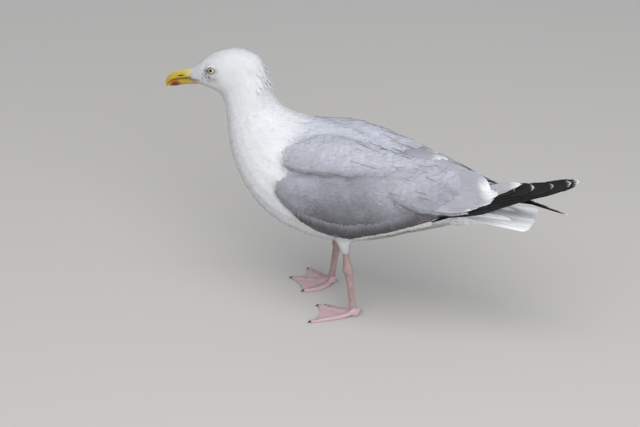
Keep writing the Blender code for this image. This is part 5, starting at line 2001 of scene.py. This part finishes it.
def leg_finish():
    made, tree = new_finish("gull leg skin")
    place = add(tree, "ShaderNodeTexCoord").outputs["Object"]
    cloud = add(tree, "ShaderNodeTexNoise", {"Vector": place, "Scale": 1 / 0.007, "Detail": 4.0}).outputs["Fac"]
    fine = add(tree, "ShaderNodeTexNoise", {"Vector": place, "Scale": 1 / 0.0011, "Detail": 3.0}).outputs["Fac"]
    colour = blend_colours(tree, from_to(tree, cloud, 0.35, 0.7), linear("#a68a87"), linear("#957576"))
    for field, tint, most in (
        ("web", "#dcbfc6", 0.65),
        ("pale", "#dfcdc6", 0.55),
        ("shin", "#8d7468", 0.45),
        # painted shade in the creases
        ("crease", "#86666a", 0.6),
    ):
        share = add(tree, "ShaderNodeAttribute", attribute_name=field).outputs["Fac"]
        colour = tinted(tree, colour, tint, share, most)
    colour = tinted(tree, colour, "#94706c", from_to(tree, fine, 0.55, 0.78, 0, 0.4))  # dirt
    flesh = {
        "Subsurface Weight": 0.08,
        "Subsurface Radius": (0.004, 0.0015, 0.001),
        "Subsurface Scale": 0.5,
    }
    set_surface(tree, colour, {"Roughness": 0.52, **flesh}, (fine, 0.25, 0.3 * MM))
    return made


LEG_FINISH = leg_finish()
legs = {word: leg_piece(word) for word in SIDES}
for piece in legs.values():
    piece.data.materials.append(LEG_FINISH)
print("Legs:", [triangles(piece) for piece in legs.values()])

# %% [markdown]
# The claws are short and blunt, black in front and pale on the hind toe. Fine copies of the solids are
# smoothed, drawn back towards their roots, and bent down a little.

# %% Claws
CLAW_HORN = plain_finish("black claw horn", "#241f1d", 0.4)
PALE_CLAW = plain_finish("pale hind claw", "#9c8580", 0.45)
CLAW_SHARE, CLAW_BEND = 0.62, 1.2 * MM  # how much of its length a claw keeps, and how far its tip bends down
claws = {}
for node in [n for n in frame["nodes"] if n.startswith("claw_")]:
    piece = fine_copy(f"{node}_horn", [node], 0.3 * MM, 0.10 * MM, 6)
    heel, _ = toe_lines(node.split("_")[1])
    spots = coords(piece.data)
    away = np.linalg.norm(spots[:, :2] - heel, axis=1)
    root = spots[away < away.min() + 1.5 * MM].mean(0)
    share = ((away - away.min()) / (away.max() - away.min()))[:, None]
    spots = root + (spots - root) * (1 - (1 - CLAW_SHARE) * share) - share**2 * np.array((0, 0, CLAW_BEND))
    spots[:, 2] = np.maximum(spots[:, 2], 0.1 * MM)
    set_coords(piece.data, spots)
    piece.data.materials.append(PALE_CLAW if "hind" in node else CLAW_HORN)
    claws[node] = piece
print("Claws:", sum(triangles(piece) for piece in claws.values()), "triangles")

# %% [markdown]
# Last, each piece is attached to the body it rides on, and the solids that it stands for are hidden.

# %% Hand over to the frame
for kind in KINDS.values():
    for shape in list(kind.objects):
        bpy.data.objects.remove(shape)
    bpy.data.collections.remove(kind)

GREY_TRACTS = ("mantle", "scapulars", "coverts")
FLIGHT_SLOTS = {"wing_tip": "black_plumage", "tail": "white_plumage"}  # the others take the grey slot


def hand_over(piece, slot, *stands_for):
    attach(piece, "root")
    if stands_for:
        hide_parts(*stands_for)


hand_over(skin, "white_plumage", *FLESH)
for piece in coat:
    hand_over(piece, "grey_plumage" if piece.name.endswith(GREY_TRACTS) else "white_plumage")
for piece, stands_for in flight.items():
    slot = next((slot for word, slot in FLIGHT_SLOTS.items() if piece.name.startswith(word)), "grey_plumage")
    hand_over(piece, slot, *stands_for)
hand_over(bill_upper, "yellow_bill", "bill_upper")
hand_over(bill_lower, "yellow_bill", "bill_lower")
for word in SIDES:
    hand_over(eyes[word], "pale_eye", f"eye_{word}")
for piece in trims:
    hand_over(piece, "white_plumage" if "fold" in piece.name else "dark_claw")
for piece in gapes:
    hand_over(piece, "yellow_bill")
for word, piece in legs.items():
    hand_over(piece, "pink_skin", f"leg_{word}", f"foot_{word}")
for node, piece in claws.items():
    hand_over(piece, "dark_claw", node)
